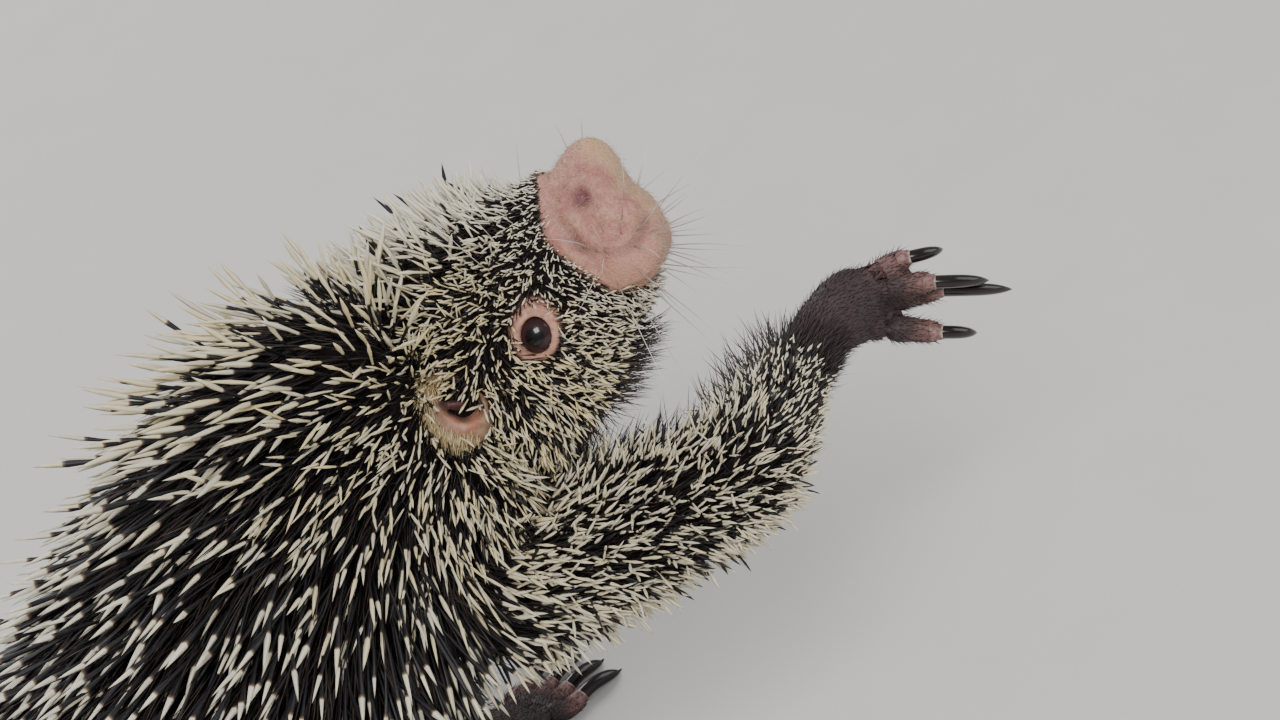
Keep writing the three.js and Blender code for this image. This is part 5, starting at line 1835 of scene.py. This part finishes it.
# %% Material helpers
class Nodes:
    """A node tree with short words for adding and linking its nodes."""

    def __init__(self, tree):
        self.tree = tree

    def node(self, kind, **settings):
        node = self.tree.nodes.new(kind)
        for key, value in settings.items():
            if hasattr(node, key):
                setattr(node, key, value)
            else:
                node.inputs[key.replace("_", " ")].default_value = value
        return node

    def give(self, socket, value):
        if isinstance(value, bpy.types.NodeSocket):
            self.tree.links.new(value, socket)
        elif isinstance(value, tuple):
            socket.default_value = (*value, 1) if len(socket.default_value) == 4 else value
        else:
            socket.default_value = value

    def math(self, operation, *values):
        node = self.node("ShaderNodeMath", operation=operation)
        for socket, value in zip(node.inputs, values):
            self.give(socket, value)
        return node.outputs[0]

    def times(self, a, b):
        return self.math("MULTIPLY", a, b)

    def linear(self, value, slope, start):
        """`value` times `slope`, plus `start`."""
        return self.math("MULTIPLY_ADD", value, slope, start)

    def ramp(self, source, *stops):
        node = self.node("ShaderNodeValToRGB")
        marks = node.color_ramp.elements
        while len(marks) < len(stops):
            marks.new(0.5)
        for mark, (place, colour) in zip(marks, stops):
            mark.position = place
            mark.color = (*colour, 1)
        self.give(node.inputs[0], source)
        return node.outputs["Color"]

    def mix(self, share, a, b, blend="MIX"):
        node = self.node("ShaderNodeMix", data_type="RGBA", blend_type=blend)
        for socket, value in zip([s for s in node.inputs if s.type == "RGBA"], (a, b)):
            self.give(socket, value)
        self.give(node.inputs[0], share)
        return next(s for s in node.outputs if s.type == "RGBA")

    def step(self, value, low, high):
        """0 below `low`, 1 above `high`, smooth between them."""
        node = self.node("ShaderNodeMapRange", interpolation_type="SMOOTHSTEP")
        for socket, given in zip(node.inputs[:3], (value, low, high)):
            self.give(socket, given)
        return node.outputs[0]

    def noise(self, place, size, detail=3.0):
        """A noise pattern whose blobs are `size` millimetres across."""
        node = self.node("ShaderNodeTexNoise", Scale=1 / (size * MM), Detail=detail)
        self.give(node.inputs["Vector"], place)
        return node.outputs["Fac"]

    def place(self):
        return self.node("ShaderNodeTexCoord").outputs["Object"]

    def group(self, group, **values):
        node = self.node("ShaderNodeGroup")
        node.node_tree = group
        for key, value in values.items():
            self.give(node.inputs[key], value)
        return node.outputs[0]

    def channels(self, name):
        """The four values kept in a colour attribute."""
        data = self.node("ShaderNodeAttribute", attribute_name=name)
        parts = self.node("ShaderNodeSeparateColor")
        self.give(parts.inputs[0], data.outputs["Color"])
        return [*parts.outputs[:3], data.outputs["Alpha"]]


class Finish(Nodes):
    """A material with one Principled shader."""

    def __init__(self, name, **plain):
        self.material = bpy.data.materials.new(name)
        self.material.use_nodes = True
        super().__init__(self.material.node_tree)
        self.shader = self.tree.nodes["Principled BSDF"]
        for key, value in plain.items():
            self.shader.inputs[key.replace("_", " ")].default_value = value

    def set(self, socket, value):
        self.give(self.shader.inputs[socket], value)

    def bump(self, height, distance):
        """Raises the surface by up to `distance` millimetres."""
        node = self.node("ShaderNodeBump", Strength=1.0, Distance=distance * MM)
        self.give(node.inputs["Height"], height)
        self.set("Normal", node.outputs[0])


# %% Shared groups
def new_group(name, output):
    """A group that is given a place and a fineness and puts out one value."""
    group = bpy.data.node_groups.new(name, "ShaderNodeTree")
    for key, kind in (("Place", "NodeSocketVector"), ("Fineness", "NodeSocketFloat")):
        group.interface.new_socket(key, in_out="INPUT", socket_type=kind)
    group.interface.new_socket(output, in_out="OUTPUT", socket_type="NodeSocketFloat")
    nodes = Nodes(group)
    return group, nodes, nodes.node("NodeGroupInput"), nodes.node("NodeGroupOutput")


def make_blotches():
    """Soft blotches from 0 to 1."""
    group, nodes, given, result = new_group("blotches", "Mask")
    cloud = nodes.node("ShaderNodeTexNoise", Detail=4.0)
    nodes.give(cloud.inputs["Vector"], given.outputs["Place"])
    nodes.give(cloud.inputs["Scale"], given.outputs["Fineness"])
    nodes.give(result.inputs[0], nodes.step(cloud.outputs["Fac"], 0.36, 0.64))
    return group


def make_wrinkles():
    """The height of finely wrinkled skin: small cushions with creases between them."""
    group, nodes, given, result = new_group("wrinkles", "Height")
    cells = nodes.node("ShaderNodeTexVoronoi", feature="F1")
    grain = nodes.node("ShaderNodeTexNoise", Detail=5.0)
    for node, factor in ((cells, 1.0), (grain, 1.7)):
        nodes.give(node.inputs["Vector"], given.outputs["Place"])
        nodes.give(node.inputs["Scale"], nodes.times(given.outputs["Fineness"], factor))
    cushions = nodes.math("SUBTRACT", 1.0, cells.outputs["Distance"])
    nodes.give(result.inputs[0], nodes.linear(grain.outputs["Fac"], 0.8, cushions))
    return group


BLOTCHES, WRINKLES = make_blotches(), make_wrinkles()
print("shared groups:", [group.name for group in (BLOTCHES, WRINKLES)])

# %% [markdown]
# ## Quill horn
#
# A quill is hollow horn. Its shaft is glossy blue-black and its point cream, with a narrow brown edge
# between them. The share along the quill, kept on its vertices, says where the colour changes, and the
# quill's own pale value moves that place down. The palest quills are yellow again at the root, and the
# cream itself is yellower where the warm value is high, at the temples and the neck.

# %% Quills
CREAM, STRAW, SHAFT = (0.86, 0.82, 0.70), (0.72, 0.61, 0.34), (0.009, 0.008, 0.011)
EDGE_BROWN = (0.13, 0.075, 0.04)


def quill_finish():
    finish = Finish("quill_horn")
    share, pale, chance, warm_place = finish.channels("quill")
    edge = finish.linear(pale, -0.60, 0.80)
    along = finish.linear(finish.math("SUBTRACT", share, edge), 9.0, 0.5)
    warm = finish.times(warm_place, finish.linear(chance, 0.8, 0.25))
    cream = finish.mix(warm, CREAM, STRAW)
    colour = finish.mix(finish.step(along, 0.30, 0.46), SHAFT, EDGE_BROWN)
    colour = finish.mix(finish.step(along, 0.46, 0.66), colour, cream)
    root_edge = finish.linear(pale, 0.42, -0.14)
    at_root = finish.step(finish.math("SUBTRACT", root_edge, share), 0.0, 0.04)
    colour = finish.mix(at_root, colour, STRAW)
    grey = finish.ramp(finish.linear(chance, 0.35, 0.78), (0, (0, 0, 0)), (1, (1, 1, 1)))
    finish.set("Base Color", finish.mix(1.0, colour, grey, "MULTIPLY"))
    finish.set("Roughness", finish.linear(finish.step(along, 0.4, 0.6), -0.12, 0.52))
    return finish.material


quill_horn = quill_finish()
print("quill nodes:", len(quill_horn.node_tree.nodes))

# %% [markdown]
# ## Hair
#
# The underfur is dark brown with slightly paler tips. Down on the muzzle, lashes, tufts of the ear and
# whiskers are pale. One recipe makes them all: a root colour, a dark and a pale tip, and how rough it is.

# %% Hair
def hair_finish(name, root, dark_tip, pale_tip, **plain):
    finish = Finish(name, **plain)
    share, pale, chance, _ = finish.channels("quill")
    paleness = finish.step(finish.linear(chance, 0.4, pale), 0.1, 1.2)
    tip = finish.mix(paleness, dark_tip, pale_tip)
    finish.set("Base Color", finish.mix(finish.step(share, 0.15, 0.85), root, tip))
    return finish.material


HAIRS = {
    "dark_fur": ((0.012, 0.008, 0.009), (0.026, 0.017, 0.017), (0.13, 0.082, 0.055), 0.62),
    "paw_fur": ((0.016, 0.010, 0.010), (0.04, 0.027, 0.026), (0.17, 0.12, 0.105), 0.6),
    "pale_down": ((0.52, 0.36, 0.26), (0.56, 0.44, 0.32), (0.80, 0.70, 0.54), 0.5),
    "ear_tufts": ((0.44, 0.31, 0.14), (0.62, 0.48, 0.25), (0.86, 0.77, 0.52), 0.5),
    "whisker": ((0.34, 0.28, 0.24), (0.55, 0.49, 0.42), (0.80, 0.76, 0.70), 0.35),
}
hairs = {name: hair_finish(name, *colours, Roughness=rough) for name, (*colours, rough) in HAIRS.items()}
print("hair finishes:", list(hairs))

# %% [markdown]
# ## Skin
#
# One material for the whole skin. The marks painted on it choose between the dark skin of the coat, the
# pink of the muzzle with painted mauve shade in its creases, nostrils and mouth, the rings of the eyes,
# the brown paws with pink knuckles and the grey scaly tail. Each has its own relief.

# %% Skin
COAT_SKIN = (0.010, 0.007, 0.007)
PINK, PINK_DEEP, PINK_PALE = (0.47, 0.20, 0.165), (0.30, 0.11, 0.105), (0.56, 0.30, 0.22)
PAD, SHADE_MAUVE, NOSE_BEIGE = (0.56, 0.30, 0.215), (0.19, 0.075, 0.078), (0.55, 0.38, 0.22)
EYE_PINK, PAW_SKIN, KNUCKLE = (0.41, 0.215, 0.16), (0.042, 0.027, 0.028), (0.28, 0.145, 0.135)
TAIL_SKIN, TAIL_SCALE = (0.045, 0.033, 0.03), (0.13, 0.098, 0.085)
TAIL_RINGS, TOE_RINGS = 230, 75.0


def skin_finish():
    finish = Finish("skin", Subsurface_Weight=0.12, Subsurface_Scale=0.003)
    place = finish.place()
    bare_mark, ring_mark, paw_mark, tail_mark = finish.channels("marks")
    pad_mark, shade_mark, pink_mark, front_mark = finish.channels("tones")
    along = finish.channels("shares")[0]
    blotch = finish.group(BLOTCHES, Place=place, Fineness=210.0)
    fine_blotch = finish.group(BLOTCHES, Place=place, Fineness=620.0)
    flesh = finish.mix(blotch, PINK, PINK_PALE)
    flesh = finish.mix(finish.times(fine_blotch, 0.42), flesh, PINK_DEEP)
    flesh = finish.mix(finish.times(pad_mark, 0.6), flesh, PAD)
    flesh = finish.mix(finish.times(front_mark, 0.7), flesh, NOSE_BEIGE)
    # Painted shade, mauve, in the creases, nostrils and mouth.
    flesh = finish.mix(shade_mark, flesh, SHADE_MAUVE)
    paw = finish.mix(finish.times(pink_mark, 0.8), PAW_SKIN, KNUCKLE)
    paw = finish.mix(finish.times(fine_blotch, 0.35), paw, PAW_SKIN)
    rings = finish.math("SINE", finish.times(along, TAIL_RINGS))
    scales = finish.linear(rings, 0.5, 0.5)
    tail_colour = finish.mix(scales, TAIL_SKIN, TAIL_SCALE)
    colour = finish.mix(bare_mark, COAT_SKIN, flesh)
    colour = finish.mix(ring_mark, colour, finish.mix(fine_blotch, EYE_PINK, PINK_PALE))
    colour = finish.mix(paw_mark, colour, paw)
    finish.set("Base Color", finish.mix(tail_mark, colour, tail_colour))
    seen = finish.math("MAXIMUM", finish.math("MAXIMUM", bare_mark, ring_mark),
                       finish.math("MAXIMUM", paw_mark, tail_mark))
    finish.set("Roughness", finish.linear(seen, -0.38, 0.92))
    finish.set("Specular IOR Level", finish.linear(seen, 0.3, 0.08))
    wrinkles = finish.group(WRINKLES, Place=place, Fineness=1050.0)
    toe_rings = finish.math("SINE", finish.times(along, TOE_RINGS))
    height = finish.times(wrinkles, finish.math("MAXIMUM", bare_mark, paw_mark))
    height = finish.linear(finish.times(toe_rings, 0.5), pink_mark, height)
    height = finish.linear(scales, tail_mark, height)
    finish.bump(height, 0.22)
    return finish.material


skin_material = skin_finish()
print("skin nodes:", len(skin_material.node_tree.nodes))

# %% [markdown]
# ## Eyes, ears and claws
#
# The iris is a dark purple brown with a black pupil in it, under a clear wet coat. The ear is pink flesh
# with a mauve fold in a hollow darkened by painted shade, and a yellow rim. Claw horn is nearly black
# and polished, browner at its root.

# %% Wet eye
IRIS, IRIS_DARK = (0.040, 0.014, 0.017), (0.016, 0.006, 0.008)
PUPIL, ROUND_IRIS = (0.003, 0.002, 0.003), (0.010, 0.005, 0.006)
PUPIL_EDGE, IRIS_EDGE = (0.13, 0.16), (0.27, 0.31)


def eye_finish():
    finish = Finish("wet_eye", Roughness=0.3, Specular_IOR_Level=0.2, Coat_Weight=0.55, Coat_Roughness=0.02)
    sight = finish.channels("sight")[0]
    iris = finish.mix(finish.noise(finish.place(), 0.5), IRIS, IRIS_DARK)
    colour = finish.mix(finish.step(sight, *PUPIL_EDGE), PUPIL, iris)
    colour = finish.mix(finish.step(sight, *IRIS_EDGE), colour, ROUND_IRIS)
    finish.set("Base Color", colour)
    return finish.material


# %% Ear flesh
EAR_BACK, EAR_BACK_PALE = (0.22, 0.13, 0.085), (0.33, 0.21, 0.12)
HOLLOW_SHADE, FOLD_MAUVE, RIM_YELLOW = (0.030, 0.016, 0.020), (0.12, 0.048, 0.056), (0.56, 0.43, 0.22)
LOBE_PINK, LOBE_PALE = (0.42, 0.15, 0.10), (0.45, 0.24, 0.165)


def ear_finish():
    finish = Finish("ear_flesh", Roughness=0.55, Subsurface_Weight=0.15, Subsurface_Scale=0.002)
    place = finish.place()
    hollow, rim, lobe, fold = finish.channels("ear")
    blotch = finish.group(BLOTCHES, Place=place, Fineness=420.0)
    colour = finish.mix(blotch, EAR_BACK, EAR_BACK_PALE)
    # Painted shade: the deep hollow of the ear is darkened nearly to black.
    colour = finish.mix(hollow, colour, HOLLOW_SHADE)
    colour = finish.mix(fold, colour, FOLD_MAUVE)
    colour = finish.mix(lobe, colour, finish.mix(blotch, LOBE_PINK, LOBE_PALE))
    finish.set("Base Color", finish.mix(finish.step(rim, 0.3, 0.7), colour, RIM_YELLOW))
    finish.bump(finish.group(WRINKLES, Place=place, Fineness=1200.0), 0.12)
    return finish.material


# %% Claw horn and cuticle
HORN_ROOT, HORN, HORN_STREAK = (0.040, 0.021, 0.018), (0.008, 0.005, 0.006), (0.018, 0.012, 0.012)
CUTICLE_FLESH = (0.13, 0.065, 0.062), (0.30, 0.165, 0.15)
CUTICLE_EDGE = (0.26, 0.175, 0.155), (0.50, 0.39, 0.34)


def claw_finish():
    finish = Finish("claw_horn", Specular_IOR_Level=0.35, Coat_Weight=0.3, Coat_Roughness=0.08)
    place = finish.place()
    along = finish.channels("horn")[0]
    streak = finish.noise(place, 0.7, 2.0)
    colour = finish.mix(finish.step(along, 0.0, 0.35), HORN_ROOT, HORN)
    finish.set("Base Color", finish.mix(finish.times(streak, 0.6), colour, HORN_STREAK))
    finish.set("Roughness", finish.linear(streak, 0.12, 0.16))
    finish.bump(finish.noise(place, 2.5, 2.0), 0.03)
    return finish.material


def cuticle_finish():
    finish = Finish("cuticle", Roughness=0.5)
    place = finish.place()
    blotch = finish.group(BLOTCHES, Place=place, Fineness=900.0)
    along = finish.channels("horn")[0]
    flesh = finish.mix(blotch, *CUTICLE_FLESH)
    edge = finish.mix(blotch, *CUTICLE_EDGE)
    finish.set("Base Color", finish.mix(finish.step(along, 0.66, 0.88), flesh, edge))
    finish.bump(finish.group(WRINKLES, Place=place, Fineness=1300.0), 0.15)
    return finish.material


# %% Dress every piece
def dress(piece, material):
    piece.data.materials.clear()
    piece.data.materials.append(material)


OUTFIT = [
    (quill_horn, quill_pieces.values()),
    (hairs["dark_fur"], fur_pieces[:-1]),
    (hairs["paw_fur"], fur_pieces[-1:]),
    (hairs["pale_down"], [down, lashes]),
    (hairs["ear_tufts"], ear_hair),
    (hairs["whisker"], [whiskers]),
    (skin_material, [skin]),
    (eye_finish(), eyes.values()),
    (ear_finish(), [ear[0] for ear in ears.values()]),
    (claw_finish(), claw_pieces),
    (cuticle_finish(), [cuticles]),
]
for material, pieces in OUTFIT:
    for piece in pieces:
        dress(piece, material)
print("materials:", [material.name for material, pieces in OUTFIT])

# %% [markdown]
# ## Floor and light
#
# A pale floor, three large soft lights and a pale world, so that every quill is seen against something
# plain. The key light stands high on the animal's right, the fill light ahead of it and the rim light
# behind it.

# %% Floor, lights and world
FLOOR_SIZE = 12
PAPER, PAPER_PALE = (0.60, 0.59, 0.57), (0.64, 0.63, 0.61)
LIGHTS = {
    "key": dict(place=(-0.7, -1.3, 1.8), size=0.9, power=42, colour=(1, 0.98, 0.95)),
    "fill": dict(place=(1.6, -1.0, 0.9), size=1.4, power=14, colour=(1, 1, 1)),
    "rim": dict(place=(0.3, 1.6, 1.4), size=1.0, power=24, colour=(1, 1, 1)),
}
WORLD_COLOUR, WORLD_STRENGTH = (0.9, 0.92, 0.95, 1), 0.35


def floor_finish():
    finish = Finish("floor_paper", Roughness=0.9)
    grain = finish.noise(finish.place(), 40, 2.0)
    finish.set("Base Color", finish.mix(grain, PAPER, PAPER_PALE))
    return finish.material


def make_floor():
    bpy.ops.mesh.primitive_plane_add(size=FLOOR_SIZE, location=(0, 0, 0))
    floor = bpy.context.object
    floor.name = "floor"
    dress(floor, floor_finish())
    return floor


def add_light(name, place, size, power, colour):
    """A square light of some metres that looks at the middle of the animal."""
    data = bpy.data.lights.new(name, "AREA")
    data.size, data.energy, data.color = size, power, colour
    light = bpy.data.objects.new(name, data)
    light.location = place
    light.rotation_euler = (-Vector(place)).to_track_quat("-Z", "Y").to_euler()
    bpy.context.scene.collection.objects.link(light)


floor = make_floor()
for name, spec in LIGHTS.items():
    add_light(name, **spec)
world = bpy.data.worlds.new("pale")
world.use_nodes = True
sky = world.node_tree.nodes["Background"]
sky.inputs["Color"].default_value = WORLD_COLOUR
sky.inputs["Strength"].default_value = WORLD_STRENGTH
bpy.context.scene.world = world
print("lights:", [item.name for item in bpy.data.lights])

# %% [markdown]
# ## Sizes
#
# The dressed animal has to stay inside the box of the solid one.

# %% Update the scene
bpy.context.view_layer.update()
